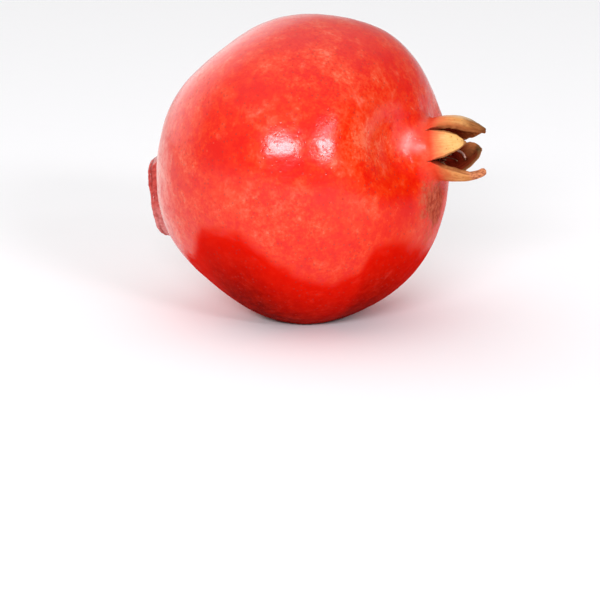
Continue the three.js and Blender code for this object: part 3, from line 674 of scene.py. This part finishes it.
def rind_material():
    g = Mat("rind")
    pos = g.place()
    mottle_and_painted_light, low, russet, stem_limb_reflection, high = g.attr("mottle_and_painted_light"), g.attr("low"), g.attr("russet"), g.attr("stem_limb_reflection"), g.attr("high")
    neck, run, across, inner = g.attr("neck"), g.attr("run"), g.attr("across"), g.attr("inner")
    cup, boss, edge, sepal = g.attr("cup"), g.attr("boss"), g.attr("edge"), g.attr("sepal")
    groove, br, crease, warm = g.attr("groove"), g.attr("br"), g.attr("crease"), g.attr("warm")
    vein, axial = g.attr("vein", True), g.attr("axial", True)

    wpos = g.warp(pos, 1 / 6.0, 3.0)
    big = g.noise(pos, 1 / 19.0, 3.0, 0.5)
    med = g.noise(wpos, 1 / 7.0, 4.0, 0.58)
    small = g.noise(wpos, 1 / 2.6, 4.0, 0.62)
    fine = g.noise(pos, 1 / 0.85, 3.0, 0.6)
    grainy = g.step(g.noise(pos, 1 / 24.0, 2.0, 0.5), 0.40, 0.62)

    # ---- the body
    # painted shade: below its edge the rind is painted a deep red that stands in for shade and a red reflection from
    # below
    painted_underside_shade = g.step(g.add(low, g.off(med, 8.0), g.off(small, 5.0), g.off(fine, 2.5)), -2.4, 3.2)
    upper = g.inv(painted_underside_shade)
    t = g.add(0.44, g.off(big, 0.45), g.off(med, 1.1), g.off(small, 1.25), g.mul(mottle_and_painted_light, 0.42))
    t = g.add(t, g.mul(g.off(fine, 1.0), g.m("MULTIPLY_ADD", grainy, 0.75, 0.55)))
    body = g.ramp(t, [(0.0, (0.66, 0.0060, 0.0004)), (0.30, (0.70, 0.014, 0.0008)), (0.50, (0.73, 0.028, 0.0020)),
                      (0.72, (0.75, 0.051, 0.0120)), (1.0, (0.77, 0.11, 0.044))])
    # painted shade: darker still further below the edge
    shade_red = g.mix(g.step(low, -2.0, 29.0), (0.63, 0.0040, 0.0003), (0.130, 0.0010, 0.0002))
    shade_red = g.mix(g.mul(g.step(small, 0.35, 0.75), 0.30), shade_red, (0.70, 0.009, 0.002))
    body = g.mix(g.mul(painted_underside_shade, 0.93), body, shade_red)
    # fine long streaks from crown to stem
    streak = g.noise(g.vmul(axial, (0.10, 0.85, 0.85)), 1.0, 4.0, 0.62)
    body = g.mix(g.mul(g.step(streak, 0.56, 0.70), 0.22, upper), body, (0.62, 0.007, 0.003))
    # small dark and pale specks
    d1, k1, k1b = g.cells(pos, 1 / 1.5)
    speck = g.mul(g.step(d1, 0.20, 0.07), g.step(k1, 0.66, 0.72), g.m("MULTIPLY_ADD", grainy, 0.6, 0.3))
    body = g.mix(g.mul(speck, 0.5), body, (0.30, 0.010, 0.006))
    d2, k2, k2b = g.cells(g.vadd(pos, (13.0, 7.0, 3.0)), 1 / 2.1)
    pale = g.mul(g.step(d2, 0.17, 0.05), g.step(k2, 0.74, 0.80))
    body = g.mix(g.mul(pale, 0.22, upper), body, (0.85, 0.22, 0.12))
    # corky russet
    rs = g.noise(g.warp(pos, 1 / 1.6, 1.6), 1 / 1.5, 5.0, 0.68)
    rmask = g.mul(g.step(g.add(g.mul(russet, 0.62), g.off(med, 0.7), g.off(rs, 1.3)), 0.14, 0.60), g.step(russet, 0.02, 0.40))
    body = g.mix(g.mul(rmask, 0.66), body, g.mix(g.step(rs, 0.40, 0.60), (0.16, 0.034, 0.017), (0.46, 0.138, 0.070)))
    # painted reflection: paler towards the stem side's limb, on the half turned towards the view, standing in for the
    # reflection of the white surroundings
    side = g.mul(g.step(g.add(stem_limb_reflection, g.off(med, 0.75), g.off(small, 0.5)), 0.04, 0.92), g.m("MULTIPLY_ADD", upper, 0.8, 0.2))
    reflection_pale = g.ramp(t, [(0.10, (0.82, 0.20, 0.145)), (0.38, (0.85, 0.30, 0.24)), (0.62, (0.87, 0.37, 0.305)), (0.95, (0.89, 0.44, 0.37))])
    body = g.mix(g.mul(side, 0.88), body, reflection_pale)
    # tiny dimples, darker and duller than the skin between them
    pits_d, pits_k, _ = g.cells(g.vadd(pos, (6.0, 5.0, 11.0)), 1 / 1.15)
    pits = g.mul(g.step(pits_d, 0.36, 0.14), g.step(pits_k, 0.52, 0.72))
    body = g.mix(g.mul(pits, 0.42), body, (0.30, 0.034, 0.028))
    painted_highlight, dull = g.attr("painted_highlight"), g.attr("dull")
    # the neck warms up towards the sepals
    nk = g.step(g.add(neck, g.off(small, 0.25)), 0.55, 1.12)
    body = g.mix(g.mul(nk, 0.80), body, (0.71, 0.080, 0.033))

    # painted highlight: a soft pale blob beside the crown, where the coat is cut back
    body = g.mix(g.mul(painted_highlight, g.add(0.50, g.off(small, 0.5))), body, (0.86, 0.40, 0.37))

    # ---- the boss
    bossy = g.step(g.add(boss, g.off(small, 0.3)), 0.12, 0.75)
    bn = g.noise(g.vmul(axial, (0.6, 1.0, 1.0)), 1 / 1.3, 4.0, 0.65)
    bcol = g.mix(g.step(bn, 0.35, 0.68), (0.46, 0.020, 0.014), (0.62, 0.075, 0.055))
    # painted highlight: the boss is paler towards its lower side, by height
    bcol = g.mix(g.mul(g.step(g.add(high, g.off(bn, 7.0)), -8.0, -18.0), 0.85), bcol, g.mix(g.step(bn, 0.32, 0.66), (0.55, 0.125, 0.110), (0.69, 0.250, 0.235)))
    # painted shade in the groove round the boss's wall
    bcol = g.mix(g.mul(groove, 0.8), bcol, (0.22, 0.012, 0.010))
    dimple = g.step(g.add(br, g.off(bn, 3.0)), 7.6, 4.2)
    bcol = g.mix(g.mul(dimple, 0.85), bcol, g.mix(g.step(bn, 0.3, 0.7), (0.16, 0.045, 0.020), (0.42, 0.16, 0.075)))
    bcol = g.mix(g.mul(g.step(bn, 0.52, 0.40), 0.35), bcol, (0.36, 0.030, 0.022))
    body = g.mix(bossy, body, bcol)
    # painted shade where the boss meets the body
    foot = g.mul(g.step(boss, 0.10, 0.45), g.step(boss, 0.95, 0.60))
    body = g.mix(g.mul(foot, g.add(0.55, g.off(bn, 0.8))), body, (0.46, 0.016, 0.010))

    # ---- the sepals
    lines = g.noise(g.vmul(vein, (1.9, 1.9, 0.16)), 1.0, 4.0, 0.6)
    lines2 = g.noise(g.vmul(vein, (4.2, 4.2, 0.30)), 1.0, 3.0, 0.6)
    blot = g.noise(pos, 1 / 2.2, 4.0, 0.6)
    lt = g.add(g.off(lines, 0.50), g.off(lines2, 0.25), g.off(blot, 1.15), 0.5)
    gold = g.ramp(lt, [(0.0, (0.60, 0.27, 0.075)), (0.35, (0.74, 0.40, 0.125)), (0.62, (0.80, 0.47, 0.165)),
                       (1.0, (0.84, 0.56, 0.25))])
    amber = g.ramp(lt, [(0.0, (0.32, 0.085, 0.022)), (0.35, (0.51, 0.175, 0.050)), (0.62, (0.62, 0.26, 0.088)),
                        (1.0, (0.75, 0.43, 0.185))])
    gold = g.mix(g.add(warm, g.off(blot, 0.5)), gold, amber)
    blush = g.step(g.add(run, g.off(lines, 0.30), g.off(blot, 0.25), g.mul(warm, 0.22)), 0.70, 0.06)
    outer = g.mix(blush, gold, (0.80, 0.150, 0.060))
    outer = g.mix(g.mul(g.step(warm, 0.70, 0.80), g.step(g.add(run, g.off(blot, 0.3)), 0.45, 0.12), 0.45), outer, (0.52, 0.105, 0.034))
    is1, is3 = g.step(sepal, 0.10, 0.05), g.mul(g.step(sepal, 0.40, 0.45), g.step(sepal, 0.60, 0.55))
    # painted shade: the first (top) sepal's near edge, which turns away, is darker orange-brown
    near = g.mul(is1, g.step(g.add(across, g.off(blot, 0.35), g.off(lines, 0.25)), 0.56, 0.90))
    outer = g.mix(g.mul(near, 0.85), outer, g.mix(g.step(run, 0.15, 0.65), (0.46, 0.110, 0.034), (0.30, 0.070, 0.020)))
    tipped = g.mul(is1, g.step(g.add(run, g.off(blot, 0.35), g.off(lines, 0.2)), 0.55, 0.78))
    outer = g.mix(g.mul(tipped, 0.85), outer, g.mix(g.step(lines, 0.35, 0.65), (0.13, 0.038, 0.012), (0.33, 0.110, 0.032)))
    outer = g.mix(g.mul(is1, g.step(g.add(run, g.off(blot, 0.10)), 0.90, 0.99), 0.9), outer, (0.045, 0.022, 0.012))
    fd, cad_, _ = g.cells(pos, 1 / 0.95)
    freckle = g.mul(g.step(fd, 0.30, 0.12), g.step(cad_, 0.55, 0.70), g.step(run, 0.2, 0.5))
    outer = g.mix(g.mul(freckle, 0.55), outer, (0.26, 0.125, 0.045))
    olive = g.mul(is1, g.step(g.add(run, g.off(blot, 1.0)), 0.50, 0.80), g.step(g.add(across, g.off(blot, 0.5)), 0.35, -0.15))
    outer = g.mix(g.mul(olive, 0.40), outer, (0.24, 0.165, 0.075))
    rim = g.mul(is1, g.step(g.add(across, g.off(blot, 0.4)), 0.30, -0.05), g.step(run, 0.08, 0.30), g.step(run, 0.86, 0.66))
    outer = g.mix(g.mul(rim, 0.60), outer, (0.72, 0.56, 0.36))
    knob = g.mul(is3, g.step(g.add(run, g.off(blot, 0.2)), 0.66, 0.80))
    kcol = g.ramp(g.noise(pos, 1 / 1.1, 3.0, 0.6), [(0.30, (0.20, 0.050, 0.024)), (0.42, (0.47, 0.160, 0.080)), (0.56, (0.73, 0.29, 0.130)),
                                                    (0.70, (0.50, 0.155, 0.085))])
    outer = g.mix(g.mul(knob, 0.85), outer, kcol)
    brown = g.mix(g.step(blot, 0.3, 0.7), (0.16, 0.045, 0.014), (0.36, 0.125, 0.042))
    ed = g.step(g.add(edge, g.off(blot, 1.0), g.off(lines2, 0.4)), 0.44, 0.98)
    outer = g.mix(g.mul(ed, 0.85), outer, brown)
    lt2 = g.add(g.off(lines, 1.2), g.off(blot, 0.9), 0.5)
    lining = g.ramp(lt2, [(0.0, (0.18, 0.028, 0.008)), (0.5, (0.36, 0.082, 0.021)), (1.0, (0.52, 0.185, 0.062))])
    lining = g.mix(g.step(g.add(run, g.off(blot, 0.35)), 0.78, 0.18), lining, (0.200, 0.012, 0.005))
    lining = g.mix(g.mul(ed, 0.5), lining, (0.40, 0.155, 0.052))
    lining = g.mix(g.step(cup, 0.2, 0.9), lining, (0.12, 0.014, 0.006))
    is2 = g.mul(g.step(sepal, 0.65, 0.70), g.step(sepal, 0.85, 0.80))
    lining = g.mix(g.mul(is1, g.step(run, 0.45, 0.80), 0.65), lining, (0.25, 0.060, 0.015))
    lining = g.mix(g.mul(is2, g.step(run, 0.40, 0.75), 0.50), lining, (0.54, 0.20, 0.070))
    lining = g.mix(g.mul(is2, g.step(g.add(run, g.off(blot, 0.25)), 0.80, 0.97), 0.8), lining, (0.075, 0.052, 0.022))
    lower = g.mul(is2, g.step(g.add(across, g.off(blot, 0.9)), 0.42, -0.45), g.step(run, 0.99, 0.86))
    lining = g.mix(g.mul(lower, 0.85), lining, g.mix(g.step(g.add(edge, g.off(blot, 0.5)), 0.62, 1.0), (0.135, 0.012, 0.004), (0.150, 0.062, 0.024)))
    sep = g.mix(g.step(g.add(inner, g.off(blot, 0.15)), 0.35, 0.75), outer, lining)
    sep = g.mix(g.mul(knob, 0.75), sep, kcol)
    sepmask = g.step(g.add(g.m("MAXIMUM", g.mul(run, 4.5), inner), g.off(lines, 0.3), g.off(blot, 0.3)), 0.05, 1.0)
    colour = g.mix(sepmask, body, sep)
    # painted shade: darker in the creases of the neck and the slits between the sepals
    colour = g.mix(g.mul(g.step(crease, 0.25, 0.85), 0.85), colour, (0.16, 0.014, 0.005))
    g.set("Base Color", colour)

    dry = g.m("MAXIMUM", sepmask, g.mul(g.m("MAXIMUM", dimple, 0.0), bossy))
    dry = g.m("MAXIMUM", dry, g.step(neck, 0.80, 1.02, 0.0, 0.8))
    dry = g.m("MAXIMUM", dry, g.mul(rmask, 0.8))
    rough = g.add(0.42, g.off(small, 0.16), g.mul(rmask, 0.18), g.mul(dry, 0.32), g.mul(painted_underside_shade, -0.06))
    g.set("Roughness", rough)
    g.bsdf.inputs["IOR"].default_value = 1.45
    g.bsdf.inputs["Coat Roughness"].default_value = 0.195
    g.bsdf.inputs["Coat IOR"].default_value = 1.45
    g.bsdf.inputs["Specular IOR Level"].default_value = 0.0
    gloss = g.mul(g.inv(dry), g.m("MULTIPLY_ADD", painted_underside_shade, -0.95, 1.0), g.inv(g.mul(pits, 0.42)), g.inv(g.mul(painted_highlight, 0.85)), g.inv(g.mul(dull, 0.60)))
    g.set("Coat Weight", gloss)
    g.bsdf.inputs["Subsurface Weight"].default_value = 0.0

    h_body = g.add(g.off(g.noise(pos, 1 / 2.8, 2.0, 0.5), 0.055), g.off(g.noise(pos, 1 / 1.2, 2.0, 0.55), 0.030),
                   g.mul(pits, -0.022), g.mul(rmask, g.off(rs, 0.10)))
    h_body = g.mul(h_body, g.step(neck, 0.30, 0.55, 1.0, 1.9))
    h_sep = g.add(g.off(lines, 0.14), g.off(lines2, 0.07), g.off(g.noise(pos, 1 / 0.9, 3.0, 0.6), 0.13))
    h_boss = g.add(g.off(bn, 0.34), g.off(fine, 0.05))
    h = g.add(g.mul(h_body, g.inv(sepmask)), g.mul(h_sep, sepmask), g.mul(h_boss, bossy))
    nrm = g.bump(h)
    g.set("Normal", nrm)
    g.set("Coat Normal", nrm)
    return g.mat


def wood_material():
    g = Mat("stem_wood")
    pos = g.place()
    cut, ang = g.attr("cut"), g.attr("fibre", True)
    long = g.noise(g.vmul(ang, (2.6, 2.6, 0.35)), 1.0, 4.0, 0.65)
    blot = g.noise(pos, 1 / 1.4, 4.0, 0.62)
    t = g.add(g.off(long, 1.3), g.off(blot, 0.8), 0.5)
    side = g.ramp(t, [(0.0, (0.050, 0.022, 0.010)), (0.45, (0.17, 0.085, 0.042)), (0.75, (0.30, 0.175, 0.095)), (1.0, (0.46, 0.32, 0.20))])
    rings = g.m("SINE", g.mul(g.add(g.attr("rr"), g.off(blot, 0.70)), 10.0))
    face = g.ramp(g.add(g.mul(rings, 0.09), g.off(blot, 1.3), 0.50),
                  [(0.0, (0.16, 0.085, 0.040)), (0.5, (0.42, 0.27, 0.145)), (1.0, (0.62, 0.46, 0.28))])
    g.set("Base Color", g.mix(g.step(cut, 0.3, 0.7), side, face))
    g.set("Roughness", g.add(0.82, g.off(blot, 0.15)))
    g.set("Normal", g.bump(g.add(g.off(long, 0.16), g.off(g.noise(pos, 1 / 0.35, 3.0, 0.6), 0.06))))
    return g.mat


def stamen_material():
    g = Mat("dried_stamen")
    pos = g.place()
    head, along = g.attr("head"), g.attr("along")
    blot = g.noise(pos, 1 / 0.8, 3.0, 0.6)
    own = g.attr("own")
    thread = g.mix(g.step(g.add(own, g.off(blot, 0.5)), 0.2, 0.9), (0.11, 0.036, 0.015), (0.23, 0.100, 0.048))
    thread = g.mix(g.step(along, 0.5, 0.0), thread, (0.11, 0.030, 0.014))
    thread = g.mix(g.mul(g.step(own, 1.1, 1.4), g.step(along, 0.3, 0.7)), thread, (0.60, 0.33, 0.25))
    cap = g.mix(g.step(blot, 0.3, 0.7), (0.12, 0.045, 0.019), (0.25, 0.125, 0.055))
    g.set("Base Color", g.mix(g.step(head, 0.3, 0.7), thread, cap))
    g.set("Roughness", g.add(0.78, g.off(blot, 0.2)))
    g.set("Normal", g.bump(g.off(g.noise(pos, 1 / 0.25, 3.0, 0.6), 0.05)))
    return g.mat


# ------------------------------------------------------------------ stem stub
def build_stub():
    sides, verts, faces = 60, [], []
    cut, fibre, rr = [], [], []
    prof = []  # (L, r, cut)
    S = STUB
    prof += [(S["base"] + 0.80, S["radius"] * x, 0) for x in (0.35, 0.7, 0.93)]
    for L, r in [(S["base"] - 0.10, 0.985), (S["base"] - 0.3, 1.0), (S["base"] - 0.55, 0.965), (S["base"] - 0.8, 0.90),
                 (S["base"] - 1.1, 0.858), (S["base"] - 1.35, 0.852), (S["base"] - 1.6, 0.852), (S["base"] - 1.85, 0.856),
                 (S["base"] - 2.05, 0.862), (S["base"] - 2.25, 0.868), (S["base"] - 2.42, 0.862), (S["base"] - 2.54, 0.835)]:
        prof.append((L, S["radius"] * r, 0))
    for x in (0.96, 0.88, 0.78, 0.66, 0.53, 0.40, 0.28, 0.16, 0.07):
        prof.append((S["end"] + 0.10 + 0.10 * (1 - x), S["neck"] * 0.93 * x, 1))
    a = 2 * PI * np.arange(sides) / sides
    grid = []
    for i, (L, r, c) in enumerate(prof):
        side_relief = 0.0
        ca, sa = np.cos(a), np.sin(a)
        q = np.stack([ca * 3.4, sa * 3.4, np.full(sides, L / 3.0)], -1)
        if not c and i > 3:
            side_relief = 0.10 * n1(q) + 0.06 * n2(q * 2.3)
        rr_ = r * (1 + 0.05 * np.cos(2 * a + 0.7)) + side_relief
        LL = np.full(sides, L)
        if c or i >= len(prof) - 10:
            LL = L - 0.14 * n2(np.stack([ca * r * 1.7, sa * r * 1.7, np.full(sides, 2.0)], -1)) \
                - 0.10 * n3(np.stack([ca * r * 4.0, sa * r * 4.0, np.full(sides, 5.0)], -1)) * (1 if c else 0.6)
            if c and r < 0.55:
                LL = LL + 0.22
        verts.append(np.stack([LL, rr_ * ca + BOSS_C[0], rr_ * sa + BOSS_C[1]], -1))
        grid.append(np.arange(i * sides, (i + 1) * sides))
        cut += [float(c)] * sides
        rr += list(rr_)
        fibre += list(np.stack([2.5 * ca * (1 if not c else r / 2.2), 2.5 * sa * (1 if not c else r / 2.2), np.full(sides, L)], -1))
    verts = np.concatenate(verts)
    top = len(verts)
    verts = np.concatenate([verts, [[S["base"] + 0.80, BOSS_C[0], BOSS_C[1]]], [[S["end"] + 0.42, BOSS_C[0], BOSS_C[1]]]])
    cut += [0.0, 1.0]
    rr += [0.0, 0.0]
    fibre += [np.array([0, 0, S["base"]]), np.array([0, 0, S["end"]])]
    for c in range(sides):
        d = (c + 1) % sides
        faces.append((top, grid[0][c], grid[0][d]))
        faces.append((top + 1, grid[-1][d], grid[-1][c]))
    for u, v in zip(grid[:-1], grid[1:]):
        for c in range(sides):
            d = (c + 1) % sides
            faces.append((u[c], v[c], v[d], u[d]))
    w = to_world(verts)
    w[:, 2] += UP_CENTRE - FLAT_EASE / 2
    w[:, 0] += CENTRE[0]
    w[:, 1] += CENTRE[1]
    return mesh_object("stem_stub_wood", w, faces, dict(cut=cut, rr=rr), dict(fibre=np.array(fibre)))


# ------------------------------------------------------------------ stamens
def build_stamens():
    rng = np.random.default_rng(5)
    V, F = [], []
    head, along, own = [], [], []
    total = 0

    def put(points, faces, hd, al, ow):
        nonlocal total
        V.append(points)
        F.extend(tuple(i + total for i in f) for f in faces)
        total += len(points)
        head.extend(hd)
        along.extend(al)
        own.extend([ow] * len(points))

    def tube(path, radii, ow, sides=6):
        path = np.asarray(path)
        n = len(path)
        tan = np.gradient(path, axis=0)
        tan /= np.linalg.norm(tan, axis=1, keepdims=True)
        ref = np.array([0.3, 0.9, 0.2])
        u = np.cross(tan, ref)
        u /= np.linalg.norm(u, axis=1, keepdims=True)
        v = np.cross(tan, u)
        a = 2 * PI * np.arange(sides) / sides
        pts = (path[:, None] + radii[:, None, None] * (u[:, None] * np.cos(a)[None, :, None] + v[:, None] * np.sin(a)[None, :, None])).reshape(-1, 3)
        fs = []
        for i in range(n - 1):
            for c in range(sides):
                d = (c + 1) % sides
                fs.append((i * sides + c, i * sides + d, (i + 1) * sides + d, (i + 1) * sides + c))
        k = len(pts)
        pts = np.concatenate([pts, path[:1], path[-1:]])
        for c in range(sides):
            d = (c + 1) % sides
            fs.append((k, d, c))
            fs.append((k + 1, (n - 1) * sides + c, (n - 1) * sides + d))
        al = np.concatenate([np.repeat(np.linspace(0, 1, n), sides), [0, 1]])
        put(pts, fs, [0.0] * len(pts), al, ow)
        return tan[-1]

    def anther(at, direction, size, ow):
        """A split, shrivelled pod: two lobes side by side."""
        d = direction / np.linalg.norm(direction)
        u = np.cross(d, np.array([0.2, 0.3, 0.9]))
        u /= np.linalg.norm(u)
        v = np.cross(d, u)
        nl, ns = 7, 10
        pts, fs = [], []
        for i in range(1, nl):
            f = PI * i / nl
            for c in range(ns):
                a = 2 * PI * c / ns
                r = sin(f) * (1 - 0.28 * abs(cos(a)) ** 6) * size * (1 + 0.10 * sin(5 * f + a))
                pts.append(at + d * (-cos(f) * size * 1.45) + u * (r * 0.55 * cos(a)) + v * (r * 0.85 * sin(a)))
        k = len(pts)
        pts.append(at - d * size * 1.45)
        pts.append(at + d * size * 1.45)
        for i in range(nl - 2):
            for c in range(ns):
                e = (c + 1) % ns
                fs.append((i * ns + c, i * ns + e, (i + 1) * ns + e, (i + 1) * ns + c))
        for c in range(ns):
            e = (c + 1) % ns
            fs.append((k, e, c))
            fs.append((k + 1, (nl - 2) * ns + c, (nl - 2) * ns + e))
        put(np.array(pts), fs, [1.0] * len(pts), [1.0] * len(pts), ow)

    # the collar that the filaments grow from
    sides, around = 8, 96
    pts, fs = [], []
    for i in range(around):
        a = 2 * PI * i / around
        for c in range(sides):
            b = 2 * PI * c / sides
            q = 0.42 * (1 + 0.22 * float(n1(np.array([[3 * cos(a), 3 * sin(a), b]]))[0]))
            r = 5.55 + q * cos(b) * (2.5 if cos(b) > 0 else 1.0)
            pts.append((36.6 + q * sin(b) * 0.9, r * cos(a), r * sin(a)))
    for i in range(around):
        j = (i + 1) % around
        for c in range(sides):
            d = (c + 1) % sides
            fs.append((i * sides + c, j * sides + c, j * sides + d, i * sides + d))
    put(np.array(pts), fs, [0.0] * len(pts), [0.0] * len(pts), 0.2)

    count = 74
    for k in range(count):
        a = 2 * PI * (k + 0.5 * rng.random()) / count * 1.0
        base_r = 5.5 + 0.25 * rng.normal() * 0.6
        reach = 3.2 + 3.6 * rng.random()
        lean = -2.0 + 2.6 * rng.random()
        curl = rng.normal() * 0.9
        twist = rng.normal() * 0.22
        hook = rng.random()
        n = 11
        s = np.linspace(0, 1, n)
        L = 36.55 + reach * s - 0.9 * hook * sm((s - 0.62) / 0.38) * s
        r = base_r + lean * s ** 1.5 + 0.35 * np.sin(3.2 * s + curl) * s
        aa = a + twist * s + 0.10 * np.sin(5.0 * s + 3 * curl) * s
        r = np.clip(r, 0.8, 6.1)
        path = np.stack([L, r * np.cos(aa), r * np.sin(aa)], -1)
        ow = float(rng.random())
        end = tube(path, 0.17 - 0.07 * s, ow)
        if rng.random() < 0.78:
            anther(path[-1] + end * 0.35, end + 0.5 * rng.normal(size=3), 0.34 + 0.14 * rng.random(), ow)
    # two long ones that show between the sepals
    for pts, size in (((36.6, 5.5, 262), (42.8, 5.3, 262), (47.0, 5.3, 250), (47.7, 4.7, 212)), 0.42), \
            (((36.6, 5.5, 238), (40.5, 5.5, 236), (43.5, 5.2, 226), (45.0, 4.8, 208)), 0.2):
        P = [np.array([L, r * cos(rad(q)), r * sin(rad(q))]) for L, r, q in pts]
        s = np.linspace(0, 1, 22)[:, None]
        path = (1 - s) ** 3 * P[0] + 3 * s * (1 - s) ** 2 * P[1] + 3 * s * s * (1 - s) * P[2] + s ** 3 * P[3]
        end = tube(path, size * (1 - 0.25 * s[:, 0]), 1.6 if size > 0.3 else 0.6, 9)
        anther(path[-1] + end * 0.25, end, 0.36, 0.9)
    # the dry style in the middle
    s = np.linspace(0, 1, 14)
    path = np.stack([33.75 + 8.6 * s, 0.5 * np.sin(2.3 * s) - 0.2 * s, 0.9 * s * s + 0.3 * np.sin(4 * s)], -1)
    end = tube(path, 0.55 - 0.30 * s + 0.10 * np.sin(9 * s) * 0.3, 0.55, 10)
    anther(path[-1] + end * 0.1, end, 0.45, 0.5)

    w = to_world(np.concatenate(V))
    w[:, 2] += UP_CENTRE - FLAT_EASE / 2
    w[:, 0] += CENTRE[0]
    w[:, 1] += CENTRE[1]
    return mesh_object("stamen_tuft", w, F, dict(head=head, along=along, own=own))


# ------------------------------------------------------------------ put it together
rind = build_rind()
rind.data.materials.append(rind_material())
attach(rind, "root")
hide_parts("fruit")

stub = build_stub()
stub.data.materials.append(wood_material())
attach(stub, "root")
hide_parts("stem_stub")

tuft = build_stamens()
tuft.data.materials.append(stamen_material())
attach(tuft, "root")
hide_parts("stamens")

# ------------------------------------------------------------------ floor, light, camera
scene = bpy.context.scene
scene.view_settings.view_transform = "Standard"
scene.view_settings.look = "None"

fm = bpy.data.meshes.new("floor")
N, R = 64, 12.0
fm.from_pydata([(R * cos(2 * PI * i / N), R * sin(2 * PI * i / N), 0) for i in range(N)], [], [tuple(range(N))])
floor = bpy.data.objects.new("floor", fm)
scene.collection.objects.link(floor)
g = Mat("floor_paper")
grain = g.noise(g.place(), 1 / 9.0, 3.0, 0.5)
g.set("Base Color", g.mix(grain, (0.945, 0.945, 0.94), (0.955, 0.955, 0.95)))
g.bsdf.inputs["Roughness"].default_value = 0.9
g.bsdf.inputs["Specular IOR Level"].default_value = 0.2
fm.materials.append(g.mat)

world = bpy.data.worlds.new("studio")
scene.world = world
world.use_nodes = True
wt = world.node_tree
bg = wt.nodes["Background"]
tc = wt.nodes.new("ShaderNodeTexCoord")
dot = wt.nodes.new("ShaderNodeVectorMath")
dot.operation = "DOT_PRODUCT"
# brighter behind the fruit on its stem side, as a lit white sweep is
dot.inputs[1].default_value = (-0.840, 0.525, 0.140)
wt.links.new(tc.outputs["Generated"], dot.inputs[0])
mr = wt.nodes.new("ShaderNodeMapRange")
mr.interpolation_type = "SMOOTHSTEP"
mr.inputs[1].default_value, mr.inputs[2].default_value = 0.66, 0.98
mr.inputs[3].default_value, mr.inputs[4].default_value = 0.0, 1.3
wt.links.new(dot.outputs["Value"], mr.inputs[0])


def world_dot(axis, lo, hi, to0, to1):
    d = wt.nodes.new("ShaderNodeVectorMath")
    d.operation = "DOT_PRODUCT"
    d.inputs[1].default_value = axis
    wt.links.new(tc.outputs["Generated"], d.inputs[0])
    m = wt.nodes.new("ShaderNodeMapRange")
    m.interpolation_type = "SMOOTHSTEP"
    for i, v in enumerate((lo, hi, to0, to1)):
        m.inputs[i + 1].default_value = v
    wt.links.new(d.outputs["Value"], m.inputs[0])
    return m.outputs[0]


def world_math(op, a, b):
    m = wt.nodes.new("ShaderNodeMath")
    m.operation = op
    for i, v in enumerate((a, b)):
        if isinstance(v, float):
            m.inputs[i].default_value = v
        else:
            wt.links.new(v, m.inputs[i])
    return m.outputs[0]


# dim low down on the crown's side, brighter overhead
side = world_dot((0.93, -0.30, 0.0), -0.45, 0.55, 0.48, 0.18)
over = world_dot((0.0, 0.0, 1.0), 0.35, 1.0, 0.0, 0.62)
sweep = world_dot((0.0, 0.0, 1.0), 0.03, 0.17, 0.70, 0.0)
wt.links.new(world_math("MAXIMUM", sweep, world_math("ADD", world_math("ADD", side, over), mr.outputs[0])), bg.inputs[1])
bg.inputs[0].default_value = (1.0, 1.0, 1.0, 1.0)


def direction(az, el):
    return Vector((sin(rad(az)) * cos(rad(el)), -cos(rad(az)) * cos(rad(el)), sin(rad(el))))


def softbox(name, az, el, width, height, radiance, distance=2.0):
    light = bpy.data.lights.new(name, "AREA")
    light.shape = "RECTANGLE"
    width, height = width * distance / 0.9, height * distance / 0.9
    light.size, light.size_y = width, height
    light.energy = radiance * PI * width * height
    light.color = (1.0, 0.975, 1.06)
    ob = bpy.data.objects.new(name, light)
    scene.collection.objects.link(ob)
    d = direction(az, el)
    ob.matrix_world = Matrix.Translation(Vector((0, 0, 0.043)) + d * distance) @ d.to_track_quat("Z", "Y").to_matrix().to_4x4()
    return ob


# sizes are those at 0.9 m, as seen from the fruit
softbox("softbox_left", 7.7, 24.4, 0.38, 0.092, 38.0)
softbox("softbox_right", 46.6, 23.6, 0.185, 0.092, 43.0)
softbox("card_upper", 57.0, 33.5, 0.22, 0.06, 11.0)

yaw, pitch = rad(18.3071), rad(15.2621)
back = np.array([sin(yaw) * cos(pitch), -cos(yaw) * cos(pitch), sin(pitch)])
right = np.array([cos(yaw), sin(yaw), 0.0])
up = np.cross(back, right)
eye = (CENTRE + VIEW * 800.0) * 0.001
cam = bpy.data.cameras.new("camera")
cam.sensor_width = 36.0
cam.lens = 164.16
cam.clip_start = 0.01
cam.clip_end = 50.0
camera = bpy.data.objects.new("camera", cam)
scene.collection.objects.link(camera)
camera.matrix_world = Matrix((
    (right[0], up[0], back[0], eye[0]),
    (right[1], up[1], back[1], eye[1]),
    (right[2], up[2], back[2], eye[2]),
    (0, 0, 0, 1),
))
scene.camera = camera
